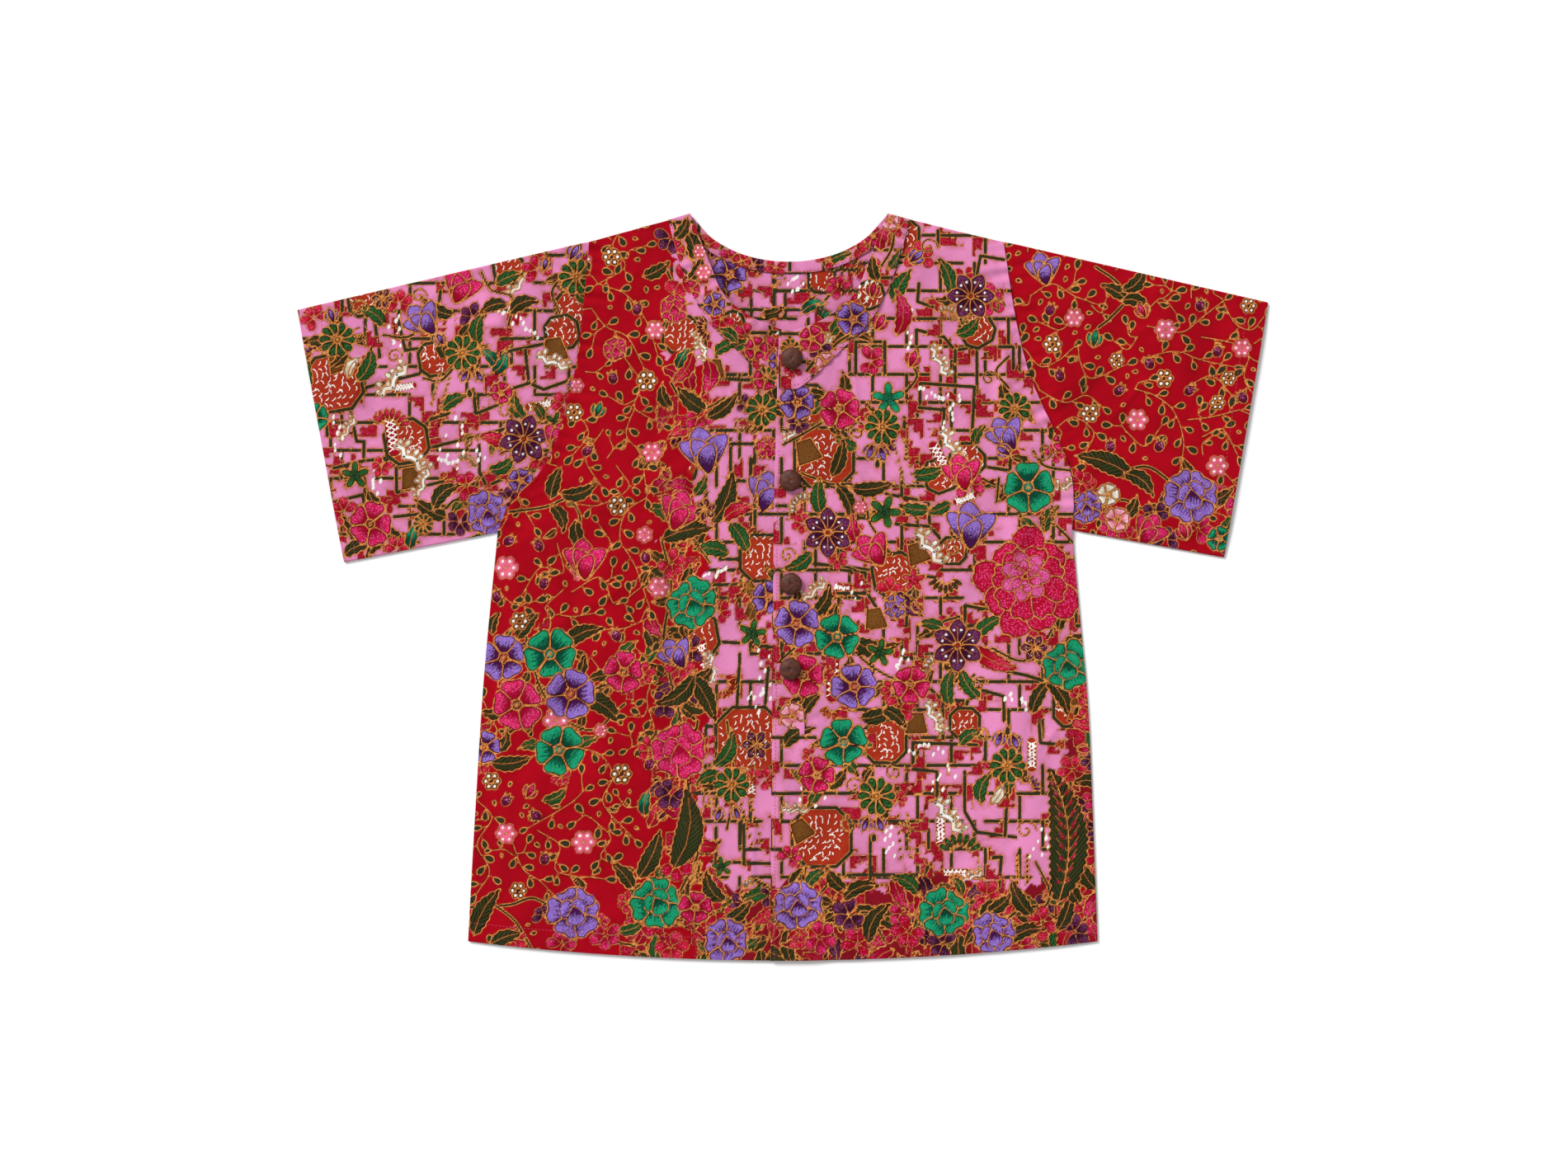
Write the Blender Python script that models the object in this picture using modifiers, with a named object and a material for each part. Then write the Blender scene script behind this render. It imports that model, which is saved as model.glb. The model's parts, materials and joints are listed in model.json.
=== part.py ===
"""A batik crop shirt laid out flat on a surface with its front side up.

The shirt lies in the XY plane: +Y points to the neck, +X to the right as seen from above, and +Z up.
The back panel rests on the surface. The two fronts lie on it, the right front laps over the left
front, and a shaped neckband lies on each front. Each sleeve is a flattened tube that is set into the
armhole. Left and right are the viewer's. Sizes in the tables and constants are in millimetres.
"""

import math

import bmesh
import bpy
import numpy as np

MM = 0.001
COLLECTION_NAME = "batik_crop_shirt"

# Cloth walls and the layers that they build up
WALL = 1.0
SEAM_GAP = 0.3
ARMHOLE_GAP = 0.36
LAYER = WALL + SEAM_GAP
BACK_MID = WALL / 2
FRONT_MID = BACK_MID + LAYER

# Body outline
SHOULDER_Y = 307.4
NECK_CENTRE_X = 5.0
NECK_HALF_WIDTH = 81.4
HEM_HALF_WIDTH = 259.2
HEM_CORNER_Y = -291.7
HEM_CENTRE_Y = -307.4

# Each row is (x, y) from the hem corner up to the underarm
SIDE_SEAM = {
    "left": [(-259.2, -291.7), (-255.4, -221.0), (-248.2, -102.0), (-242.6, -34.0), (-234.6, 46.2)],
    "right": [(259.2, -291.7), (256.6, -221.0), (251.6, -102.0), (245.5, -34.0), (238.0, 48.3)],
}
# Each row is (x, y) from the underarm up to the shoulder tip
ARMHOLE = {
    "left": [(-234.6, 46.2), (-222.4, 73.0), (-194.3, 102.2), (-174.5, 163.0), (-166.1, 212.7), (-159.3, 284.2)],
    "right": [(238.0, 48.3), (239.6, 74.0), (234.0, 106.0), (206.0, 168.0), (192.6, 217.0), (181.8, 284.1)],
}
# Each row is (distance from the neck centre, depth below the neck point), from the neck point inwards
FRONT_NECK = [(81.4, 0.0), (65.5, 41.0), (56.5, 63.0), (45.0, 76.5), (27.6, 88.0), (9.0, 95.2), (0.0, 96.5)]
BACK_NECK = [(81.4, 0.0), (65.0, 18.5), (47.0, 29.6), (30.0, 35.6), (13.0, 38.6), (0.0, 39.2)]
BAND_OUTER = [(99.0, 5.0), (88.0, 45.0), (69.0, 85.0), (43.0, 112.0), (12.0, 141.0), (0.0, 144.0)]

# The sleeve's cuff corners, top and bottom
CUFF = {
    "left": {"top": (-399.8, 227.8), "bottom": (-361.8, 21.8)},
    "right": {"top": (399.8, 233.9), "bottom": (363.8, 25.8)},
}

# The right front's edge, from the neck down to the hem, and how far the left front runs on under it
FRONT_EDGE = [(-3.0, 212.0), (-4.2, 162.0), (-7.0, 60.0), (-7.8, -60.0), (-9.0, -180.0), (-9.6, -307.0)]
LAP_WIDTH = 26.0

# How high the layers puff up, and how quickly they rise from a sewn edge
BODY_PUFF = 1.8
SLEEVE_PUFF = 1.8
EDGE_RISE = 18.0
EDGE_RISE_POWER = 1.5
HEM_SETTLE = 45.0
HEM_PUFF_SHARE = 0.45
NECK_LIFT = 1.5
NECK_LIFT_REACH = 55.0
LEAST_RISE = 0.15

# What lies between or on the layers raises the ones above it
STACK_EXTRA = 0.3
BINDING_CLEARANCE_REACH = 34.0
LAP_MARGIN = 2.0
LAP_FADE = 26.0
BAND_FOOT_MARGIN = 24.0
BAND_FOOT_FADE = 16.0

# A fold fades out over this share of its length, which starts this far beyond its ends
FOLD_FADE = 0.35
FOLD_OVERRUN = 0.15

# Soft folds as ridges or troughs. Width is the Gaussian half width across, height is negative for a trough
BODY_FOLDS = [
    # x0, y0, x1, y1, width, height
    (-104.0, 120.0, -106.0, -150.0, 8.0, 1.5),
    (-93.0, 96.0, -92.0, -168.0, 7.0, -1.3),
    (-146.0, 30.0, -150.0, -190.0, 11.0, 1.1),
    (-205.0, 52.0, -176.0, -40.0, 9.0, 1.7),
    (-226.0, 10.0, -214.0, -120.0, 8.0, 1.3),
    (-168.0, 150.0, -150.0, 60.0, 8.0, 1.6),
    (-30.0, -110.0, -26.0, -290.0, 7.0, 1.0),
    (-62.0, 30.0, -60.0, -80.0, 9.0, 0.9),
    (-202.0, -150.0, -212.0, -280.0, 13.0, 1.1),
    (-90.0, -215.0, -88.0, -295.0, 11.0, 0.9),
    (184.0, 222.0, 181.0, 128.0, 6.5, 2.4),
    (171.0, 205.0, 170.0, 120.0, 6.0, -1.2),
    (206.0, 130.0, 190.0, 20.0, 8.5, 2.2),
    (224.0, 78.0, 176.0, 10.0, 8.0, 1.8),
    (226.0, 26.0, 214.0, -100.0, 9.0, 1.5),
    (150.0, 120.0, 146.0, -30.0, 10.0, 1.0),
    (92.0, 60.0, 94.0, -120.0, 10.0, 1.2),
    (46.0, 40.0, 48.0, -70.0, 9.0, 0.9),
    (196.0, -120.0, 206.0, -280.0, 12.0, 1.2),
    (118.0, -170.0, 122.0, -296.0, 11.0, 1.1),
    (56.0, -190.0, 58.0, -300.0, 9.0, 0.8),
    (82.0, 268.0, 92.0, 228.0, 5.5, 1.2),
]
SLEEVE_FOLDS = {
    "left": [
        (-232.0, 118.0, -330.0, 96.0, 9.0, 1.6),
        (-206.0, 128.0, -262.0, 190.0, 9.0, 1.4),
        (-244.0, 84.0, -318.0, 56.0, 8.0, 1.4),
        (-286.0, 190.0, -366.0, 168.0, 11.0, 1.2),
        (-196.0, 206.0, -246.0, 232.0, 8.0, 1.0),
        (-330.0, 132.0, -374.0, 116.0, 9.0, 0.9),
    ],
    "right": [
        (246.0, 110.0, 336.0, 96.0, 9.0, 1.5),
        (224.0, 156.0, 284.0, 196.0, 9.0, 1.3),
        (254.0, 76.0, 322.0, 54.0, 8.0, 1.6),
        (290.0, 200.0, 368.0, 176.0, 11.0, 1.2),
        (214.0, 222.0, 262.0, 242.0, 8.0, 0.9),
        (336.0, 136.0, 376.0, 122.0, 9.0, 0.9),
    ],
}

# Buttons down the right front. The first lies on the neckband
BUTTONS = [
    # x, y
    (7.4, 187.7),
    (6.2, 87.7),
    (6.8, 2.7),
    (6.2, -67.3),
]
BUTTON_SEAT = 0.3
BUTTON_PROFILE = [
    # distance from the axis, height above the foot
    (0.0, 5.5),
    (1.1, 5.75),
    (2.1, 6.15),
    (4.4, 5.95),
    (6.6, 5.25),
    (8.2, 4.1),
    (9.0, 2.9),
    (8.5, 2.1),
    (6.6, 1.7),
    (2.8, 1.6),
    (2.8, 0.0),
    (0.0, 0.0),
]
BUTTON_STEPS = 24
FOOT_ANGLES = [0.0, 0.5 * math.pi, math.pi, 1.5 * math.pi]

BINDING_WIDTH = 9.5
BINDING_END = 0.05

# Points closer than this are one point
WELD_DISTANCE = 0.01

# How finely each outline is divided
SIDE_ROWS = 20
ARMHOLE_ROWS = 14
SHOULDER_COLUMNS = 22
NECK_SHARE = 0.30
BAND_ROWS = 26
BAND_COLUMNS = 4
SLEEVE_RINGS = 15
FOLD_POINTS = 3
OUTLINE_STEPS = 24
CURVE_POINTS = 161
KNOT_STEPS = 40


def spline(points, count):
    """Points evenly spaced along a smooth curve through the given ones."""
    knots = np.asarray(points, float)
    before = 2 * knots[0] - knots[1]
    after = 2 * knots[-1] - knots[-2]
    padded = np.vstack([before, knots, after])
    fine = []
    for i in range(len(knots) - 1):
        p0, p1, p2, p3 = padded[i : i + 4]
        t = np.linspace(0, 1, KNOT_STEPS, endpoint=False)[:, None]
        slope_in, slope_out = (p2 - p0) / 2, (p3 - p1) / 2
        fine.append(
            p1 * (1 - 3 * t**2 + 2 * t**3)
            + p2 * (3 * t**2 - 2 * t**3)
            + slope_in * (t - 2 * t**2 + t**3)
            + slope_out * (t**3 - t**2)
        )
    return resample(np.vstack(fine + [knots[-1:]]), count)


def resample(line, count):
    """The polyline again with count points evenly spaced along it."""
    step = np.linalg.norm(np.diff(line, axis=0), axis=1)
    along = np.concatenate([[0], np.cumsum(step)])
    wanted = np.linspace(0, along[-1], count)
    return np.stack([np.interp(wanted, along, line[:, k]) for k in range(line.shape[1])], axis=1)


def line_between(start, end, count):
    """Evenly spaced points on a straight line."""
    share = np.linspace(0, 1, count)[:, None]
    return np.asarray(start, float) * (1 - share) + np.asarray(end, float) * share


def offset_line(line, distance):
    """The polyline moved sideways, to the left of its direction of travel."""
    along = np.gradient(line, axis=0)
    along /= np.linalg.norm(along, axis=1)[:, None]
    return line + distance * np.stack([-along[:, 1], along[:, 0]], axis=1)


def distance_to(points, line):
    """How far each point is from a polyline."""
    best = np.full(points.shape[:-1], np.inf)
    for start, end in zip(line[:-1], line[1:]):
        run = end - start
        share = np.clip(((points - start) @ run) / (run @ run), 0, 1)
        best = np.minimum(best, np.linalg.norm(points - start - share[..., None] * run, axis=-1))
    return best


def smooth_step(value):
    """0 below 0, 1 above 1 and an even turn in between."""
    share = np.clip(value, 0, 1)
    return share * share * (3 - 2 * share)


def coons(left, right, bottom, top):
    """A grid of points between four edges. Rows run from bottom to top and columns from left to right."""
    v = np.linspace(0, 1, len(left))[:, None, None]
    u = np.linspace(0, 1, len(bottom))[None, :, None]
    across = (1 - u) * left[:, None] + u * right[:, None]
    upward = (1 - v) * bottom[None] + v * top[None]
    corners = (
        (1 - u) * (1 - v) * bottom[0]
        + u * (1 - v) * bottom[-1]
        + (1 - u) * v * top[0]
        + u * v * top[-1]
    )
    return across + upward - corners


def hem_y(x):
    """The hem's gentle curve, lowest at the centre."""
    return HEM_CENTRE_Y + (HEM_CORNER_Y - HEM_CENTRE_Y) * (x / HEM_HALF_WIDTH) ** 2


def neck_line(table, side):
    """A neck table as points, from the neck point of that side to the neck centre."""
    sign = -1 if side == "left" else 1
    return np.array([(NECK_CENTRE_X + sign * across, SHOULDER_Y - depth) for across, depth in table])


def whole_neck(table, count=CURVE_POINTS):
    """A neck table as one curve from the left neck point to the right one."""
    left = neck_line(table, "left")
    right = neck_line(table, "right")[::-1]
    return spline(np.vstack([left, right[1:]]), count)


def cut_at_x(line, x, keep):
    """The part of a left-to-right curve on one side of x, with a new end point there."""
    y = np.interp(x, line[:, 0], line[:, 1])
    if keep == "left":
        return np.vstack([line[line[:, 0] < x], [(x, y)]])
    return np.vstack([[(x, y)], line[line[:, 0] > x]])


def neck_point(side):
    sign = -1 if side == "left" else 1
    return np.array([NECK_CENTRE_X + sign * NECK_HALF_WIDTH, SHOULDER_Y])


def shoulder_tip(side):
    return np.array(ARMHOLE[side][-1])


def front_edge(side, count):
    """The front's centre edge from the hem up to the neck. The left front runs on under the right."""
    edge = spline(FRONT_EDGE, CURVE_POINTS)
    if side == "left":
        edge = edge + np.array([LAP_WIDTH, 0.0])
    neck = whole_neck(FRONT_NECK)
    edge[0, 1] = np.interp(edge[0, 0], neck[:, 0], neck[:, 1])
    edge[-1, 1] = hem_y(edge[-1, 0])
    return resample(edge[::-1], count)


def outer_edge(side):
    """Side seam and armhole together, from the hem to the shoulder tip."""
    seam = spline(SIDE_SEAM[side], SIDE_ROWS + 1)
    armhole = spline(ARMHOLE[side], ARMHOLE_ROWS + 1)
    return np.vstack([seam, armhole[1:]])


def neck_part(table, side):
    """One front's part of a neck curve, from the top of its centre edge to the shoulder."""
    corner = front_edge(side, CURVE_POINTS)[-1]
    part = cut_at_x(whole_neck(table), corner[0], side)
    return part[::-1] if side == "left" else part


def inner_edge(side):
    """A front's centre edge and neckline together, from the hem to the neck point."""
    rows = SIDE_ROWS + ARMHOLE_ROWS
    neck_rows = round(rows * NECK_SHARE)
    edge = front_edge(side, rows - neck_rows + 1)
    return np.vstack([edge, resample(neck_part(FRONT_NECK, side), neck_rows + 1)[1:]])


def hem_line(start_x, end_x, count):
    x = np.linspace(start_x, end_x, count)
    return np.stack([x, hem_y(x)], axis=1)


def front_grid(side):
    """The plan of one front as a grid of points, columns from left to right."""
    outer, inner = outer_edge(side), inner_edge(side)
    left, right = (outer, inner) if side == "left" else (inner, outer)
    bottom = hem_line(left[0, 0], right[0, 0], SHOULDER_COLUMNS + 1)
    top = line_between(left[-1], right[-1], SHOULDER_COLUMNS + 1)
    return coons(left, right, bottom, top)


def folds(points, table):
    """The height that a table of soft folds adds. Each fades out towards its two ends."""
    total = np.zeros(points.shape[:-1])
    for x0, y0, x1, y1, width, height in table:
        start, run = np.array([x0, y0]), np.array([x1 - x0, y1 - y0])
        length = np.linalg.norm(run)
        share = ((points - start) @ run) / length**2
        across = np.abs((points - start) @ np.array([-run[1], run[0]])) / length
        start_fade = smooth_step((share + FOLD_OVERRUN) / FOLD_FADE)
        ends = start_fade * smooth_step((1 + FOLD_OVERRUN - share) / FOLD_FADE)
        total += height * ends * np.exp(-((across / width) ** 2))
    return total


SEWN_EDGES = {}


def sewn_edges(side):
    """The edges of one front that are sewn down to the back: side seam, armhole and shoulder."""
    if side not in SEWN_EDGES:
        shoulder = np.array([shoulder_tip(side), neck_point(side)])
        SEWN_EDGES[side] = [outer_edge(side), shoulder]
    return SEWN_EDGES[side]


def rise_from(edge_distance):
    """0 at a sewn edge, and 1 well inside it."""
    return 1 - np.exp(-((edge_distance / EDGE_RISE) ** EDGE_RISE_POWER))


def body_height(points, side):
    """The middle of a front's wall above the surface, before the right front's lap is added."""
    inside = rise_from(np.minimum(*[distance_to(points, line) for line in sewn_edges(side)]))
    above_hem = smooth_step((points[..., 1] - hem_y(points[..., 0])) / HEM_SETTLE)
    puff = BODY_PUFF * (HEM_PUFF_SHARE + (1 - HEM_PUFF_SHARE) * above_hem)
    soft = np.maximum(puff + folds(points, BODY_FOLDS), LEAST_RISE)
    from_neck = distance_to(points, whole_neck(FRONT_NECK, OUTLINE_STEPS)) / NECK_LIFT_REACH
    lifted = NECK_LIFT * np.exp(-(from_neck**2))
    beside_neck = np.linalg.norm(points - neck_point(side), axis=-1) / BINDING_CLEARANCE_REACH
    over_binding = (LAYER + STACK_EXTRA) * (1 - smooth_step(beside_neck))
    return FRONT_MID + inside * (soft + lifted) + over_binding


def lap_lift(points):
    """How far the right front is raised by the left front's lap and neckband under it."""
    edge = front_edge("left", CURVE_POINTS)
    lap_x = np.interp(points[..., 1], edge[:, 1], edge[:, 0])
    over_lap = 1 - smooth_step((points[..., 0] - lap_x - LAP_MARGIN) / LAP_FADE)
    band_foot = SHOULDER_Y - BAND_OUTER[-1][1]
    over_band = smooth_step((points[..., 1] - band_foot + BAND_FOOT_MARGIN) / BAND_FOOT_FADE)
    return over_lap * (LAYER + STACK_EXTRA) * (1 + over_band)


def front_height(points, side):
    height = body_height(points, side)
    return height + lap_lift(points) if side == "right" else height


def band_height(points, side):
    return front_height(points, side) + LAYER + STACK_EXTRA


def material(name, colour, roughness):
    made = bpy.data.materials.new(name)
    made.use_nodes = True
    shader = made.node_tree.nodes["Principled BSDF"]
    shader.inputs["Base Color"].default_value = (*colour, 1.0)
    shader.inputs["Roughness"].default_value = roughness
    shader.inputs["Metallic"].default_value = 0.0
    return made


def add_object(name, data, finish, collection):
    data.materials.append(finish)
    made = bpy.data.objects.new(name, data)
    collection.objects.link(made)
    return made


def cloth_wall(name, points, finish, collection):
    """A grid whose points are moved to the given ones, in millimetres, and which Solidify makes a wall.

    Where the first and the last column are the same, they are welded, so that the cloth is a tube.
    """
    rows, columns = points.shape[:2]
    sheet = bmesh.new()
    bmesh.ops.create_grid(sheet, x_segments=columns - 1, y_segments=rows - 1, size=1.0)
    for vertex, place in zip(sheet.verts, points.reshape(-1, 3) * MM):
        vertex.co = place
    bmesh.ops.remove_doubles(sheet, verts=sheet.verts, dist=WELD_DISTANCE * MM)
    mesh = bpy.data.meshes.new(name)
    sheet.to_mesh(mesh)
    sheet.free()
    mesh.shade_smooth()
    made = add_object(name, mesh, finish, collection)
    wall = made.modifiers.new("cloth_wall", "SOLIDIFY")
    wall.thickness = WALL * MM
    wall.offset = 0.0
    wall.use_even_offset = True
    return made


def flat_plate(name, outline, bottom, finish, collection):
    """A flat outline in millimetres as a plate one wall thick that starts at the height bottom."""
    curve = bpy.data.curves.new(name, "CURVE")
    curve.dimensions = "2D"
    curve.fill_mode = "BOTH"
    curve.extrude = WALL / 2 * MM
    path = curve.splines.new("POLY")
    path.points.add(len(outline) - 1)
    for point, (x, y) in zip(path.points, outline):
        point.co = (x * MM, y * MM, 0.0, 1.0)
    path.use_cyclic_u = True
    made = add_object(name, curve, finish, collection)
    made.location.z = (bottom + WALL / 2) * MM
    return made


def with_height(plan, height):
    return np.concatenate([plan, height[..., None]], axis=-1)


def make_front(side, finish, collection):
    plan = front_grid(side)
    return cloth_wall(f"front_{side}", with_height(plan, front_height(plan, side)), finish, collection)


def make_back(finish, collection):
    """The back panel, flat on the surface, with its neckline and armholes cut out."""
    neck = whole_neck(BACK_NECK, 2 * OUTLINE_STEPS)
    hem = hem_line(-HEM_HALF_WIDTH, HEM_HALF_WIDTH, OUTLINE_STEPS)
    outline = np.vstack([hem, outer_edge("right")[1:], neck[::-1], outer_edge("left")[::-1][:-1]])
    return flat_plate("back", outline, 0.0, finish, collection)


def make_back_neck_binding(finish, collection):
    """The narrow binding that lies on the inside of the back along its neckline."""
    neck = whole_neck(BACK_NECK)
    left_out = round(CURVE_POINTS * BINDING_END)
    upper = resample(neck[left_out:-left_out], OUTLINE_STEPS)
    outline = np.vstack([upper, offset_line(upper, -BINDING_WIDTH)[::-1]])
    return flat_plate("back_neck_binding", outline, LAYER, finish, collection)


def make_neckband(side, finish, collection):
    """The shaped band that lies on the front along its neckline, from the centre edge to the shoulder."""
    neck = resample(neck_part(FRONT_NECK, side), BAND_ROWS + 1)
    lower = resample(neck_part(BAND_OUTER, side), BAND_ROWS + 1)
    share = np.linspace(0, 1, BAND_COLUMNS + 1)[None, :, None]
    plan = neck[:, None] * (1 - share) + lower[:, None] * share
    points = with_height(plan, band_height(plan, side))
    return cloth_wall(f"neckband_{side}", points, finish, collection)


def sleeve_plan(side):
    """The sleeve's plan: columns run from the armhole to the cuff, rows from the underarm to the shoulder."""
    armhole = spline(ARMHOLE[side], ARMHOLE_ROWS + 1)
    outwards = 1 if side == "left" else -1
    armhole = offset_line(armhole, outwards * ARMHOLE_GAP)
    cuff = line_between(CUFF[side]["bottom"], CUFF[side]["top"], ARMHOLE_ROWS + 1)
    lower = line_between(armhole[0], cuff[0], SLEEVE_RINGS + 1)
    upper = line_between(armhole[-1], cuff[-1], SLEEVE_RINGS + 1)
    return coons(armhole, cuff, lower, upper)


def sleeve_height(plan, side):
    """The height of the sleeve's upper layer above its lower one."""
    fold_line = np.array([ARMHOLE[side][-1], CUFF[side]["top"]])
    seam_line = np.array([ARMHOLE[side][0], CUFF[side]["bottom"]])
    armhole = spline(ARMHOLE[side], ARMHOLE_ROWS + 1)
    edge = np.minimum(distance_to(plan, fold_line), distance_to(plan, seam_line))
    edge = np.minimum(edge, distance_to(plan, armhole))
    soft = np.maximum(SLEEVE_PUFF + folds(plan, SLEEVE_FOLDS[side]), LEAST_RISE)
    return FRONT_MID + rise_from(edge) * soft


def fold_arc(lower, upper, outwards):
    """Points of the half circle that joins the lower layer to the upper one along an edge."""
    middle, radius = (lower + upper) / 2, np.linalg.norm(upper - lower) / 2
    turns = np.linspace(-math.pi / 2, math.pi / 2, FOLD_POINTS + 2)[1:-1]
    up = np.array([0.0, 0.0, 1.0])
    return [middle + radius * (math.cos(a) * outwards + math.sin(a) * up) for a in turns]


def make_sleeve(side, finish, collection):
    """A sleeve as a flattened tube. Its lower layer lies on the surface and its upper layer puffs up."""
    plan = sleeve_plan(side)
    upper = with_height(plan, sleeve_height(plan, side))
    lower = with_height(plan, np.full(plan.shape[:2], BACK_MID))
    rings = []
    for i in range(plan.shape[1]):
        over, under = upper[:, i], lower[:, i]
        top_out = over[-1] - over[-2]
        bottom_out = over[0] - over[1]
        top_out[2] = bottom_out[2] = 0.0
        top_out /= np.linalg.norm(top_out)
        bottom_out /= np.linalg.norm(bottom_out)
        ring = [*under]
        ring += fold_arc(under[-1], over[-1], top_out)
        ring += [*over[::-1]]
        ring += fold_arc(under[0], over[0], bottom_out)[::-1]
        rings.append([*ring, ring[0]])
    grid = np.array(rings)
    if side == "right":
        grid = grid[::-1]
    return cloth_wall(f"sleeve_{side}", grid, finish, collection)


def make_button(index, x, y, finish, collection):
    """A domed button with a dimple and a shank, as a profile turned about its own axis."""
    name = f"button_{index}"
    mesh = bpy.data.meshes.new(name)
    points = [(across * MM, 0.0, height * MM) for across, height in BUTTON_PROFILE]
    mesh.from_pydata(points, [(i, i + 1) for i in range(len(points) - 1)], [])
    made = add_object(name, mesh, finish, collection)
    turn = made.modifiers.new("turned", "SCREW")
    turn.steps = turn.render_steps = BUTTON_STEPS
    turn.use_merge_vertices = True
    turn.merge_threshold = WELD_DISTANCE * MM
    foot = BUTTON_PROFILE[-2][0]
    around = np.array([(x + foot * math.cos(a), y + foot * math.sin(a)) for a in FOOT_ANGLES])
    carrier = band_height if index == 1 else front_height
    surface = carrier(around, "right").max() + WALL / 2
    made.location = (x * MM, y * MM, (surface + BUTTON_SEAT) * MM)
    return made


def main():
    for old in list(bpy.data.objects):
        bpy.data.objects.remove(old)
    collection = bpy.data.collections.new(COLLECTION_NAME)
    bpy.context.scene.collection.children.link(collection)
    red_cloth = material("red_batik", (0.48, 0.01, 0.03), 0.75)
    pink_cloth = material("pink_batik", (0.72, 0.18, 0.45), 0.75)
    button_brown = material("button_brown", (0.11, 0.045, 0.025), 0.6)
    make_back(pink_cloth, collection)
    make_back_neck_binding(pink_cloth, collection)
    make_front("left", red_cloth, collection)
    make_front("right", pink_cloth, collection)
    make_neckband("left", pink_cloth, collection)
    make_neckband("right", pink_cloth, collection)
    make_sleeve("left", pink_cloth, collection)
    make_sleeve("right", red_cloth, collection)
    for index, (x, y) in enumerate(BUTTONS, start=1):
        make_button(index, x, y, button_brown, collection)


main()
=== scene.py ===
"""The look of a batik crop shirt that lies flat on a pale surface with its front side up.

Every cloth piece is a thin fine sheet on the form of its own solid. The print is worked out from short
tables of flowers, leaves and lattice lines and kept in the points of the sheets. Left and right are the
viewer's. Sizes in the tables and constants are in millimetres, and the meshes are made in metres.
"""

import json
import math

import bpy
import numpy as np
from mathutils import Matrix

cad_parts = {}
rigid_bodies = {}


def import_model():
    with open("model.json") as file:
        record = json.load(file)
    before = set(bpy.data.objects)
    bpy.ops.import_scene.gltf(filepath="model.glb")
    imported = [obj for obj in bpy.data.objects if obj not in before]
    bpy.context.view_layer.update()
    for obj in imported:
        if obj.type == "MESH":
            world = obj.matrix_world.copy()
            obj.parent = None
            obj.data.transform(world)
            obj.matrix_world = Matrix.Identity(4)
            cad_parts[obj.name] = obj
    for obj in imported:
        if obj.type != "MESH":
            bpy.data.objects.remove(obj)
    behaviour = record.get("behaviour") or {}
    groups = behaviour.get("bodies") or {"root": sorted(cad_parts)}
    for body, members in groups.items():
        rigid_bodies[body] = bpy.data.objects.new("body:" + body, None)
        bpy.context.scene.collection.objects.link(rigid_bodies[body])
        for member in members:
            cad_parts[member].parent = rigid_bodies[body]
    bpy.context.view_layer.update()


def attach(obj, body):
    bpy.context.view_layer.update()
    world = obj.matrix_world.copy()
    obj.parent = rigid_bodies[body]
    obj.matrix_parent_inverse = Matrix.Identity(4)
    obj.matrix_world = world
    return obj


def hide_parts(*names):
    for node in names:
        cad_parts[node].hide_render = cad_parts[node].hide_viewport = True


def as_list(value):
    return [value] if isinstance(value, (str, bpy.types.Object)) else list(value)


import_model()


MM = 0.001

# Cloth walls and the layers that they build up
WALL = 1.0
SEAM_GAP = 0.3
ARMHOLE_GAP = 0.36
LAYER = WALL + SEAM_GAP
BACK_MID = WALL / 2
FRONT_MID = BACK_MID + LAYER

# Body outline
SHOULDER_Y = 307.4
NECK_CENTRE_X = 5.0
NECK_HALF_WIDTH = 81.4
HEM_HALF_WIDTH = 259.2
HEM_CORNER_Y = -291.7
HEM_CENTRE_Y = -307.4

# Each row is (x, y) from the hem corner up to the underarm
SIDE_SEAM = {
    "left": [(-259.2, -291.7), (-255.4, -221.0), (-248.2, -102.0), (-242.6, -34.0), (-234.6, 46.2)],
    "right": [(259.2, -291.7), (256.6, -221.0), (251.6, -102.0), (245.5, -34.0), (238.0, 48.3)],
}
# Each row is (x, y) from the underarm up to the shoulder tip
ARMHOLE = {
    "left": [
        (-234.6, 46.2), (-222.4, 73.0), (-194.3, 102.2), (-174.5, 163.0), (-166.1, 212.7), (-159.3, 284.2),
    ],
    "right": [
        (238.0, 48.3), (239.6, 74.0), (234.0, 106.0), (206.0, 168.0), (192.6, 217.0), (181.8, 284.1),
    ],
}
# Each row is (distance from the neck centre, depth below the neck point), from the neck point inwards
FRONT_NECK = [(81.4, 0.0), (65.5, 41.0), (56.5, 63.0), (45.0, 76.5), (27.6, 88.0), (9.0, 95.2), (0.0, 96.5)]
BACK_NECK = [(81.4, 0.0), (65.0, 18.5), (47.0, 29.6), (30.0, 35.6), (13.0, 38.6), (0.0, 39.2)]
BAND_OUTER = [(99.0, 5.0), (88.0, 45.0), (69.0, 85.0), (43.0, 112.0), (12.0, 141.0), (0.0, 144.0)]

# The sleeve's cuff corners, top and bottom
CUFF = {
    "left": {"top": (-399.8, 227.8), "bottom": (-361.8, 21.8)},
    "right": {"top": (399.8, 233.9), "bottom": (363.8, 25.8)},
}

# The right front's edge, from the neck down to the hem, and how far the left front runs on under it
FRONT_EDGE = [(-3.0, 212.0), (-4.2, 162.0), (-7.0, 60.0), (-7.8, -60.0), (-9.0, -180.0), (-9.6, -307.0)]
LAP_WIDTH = 26.0

# How high the layers puff up, and how quickly they rise from a sewn edge
BODY_PUFF = 1.8
SLEEVE_PUFF = 1.8
EDGE_RISE = 18.0
EDGE_RISE_POWER = 1.5
HEM_SETTLE = 45.0
HEM_PUFF_SHARE = 0.45
NECK_LIFT = 1.5
NECK_LIFT_REACH = 55.0
LEAST_RISE = 0.15

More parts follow.
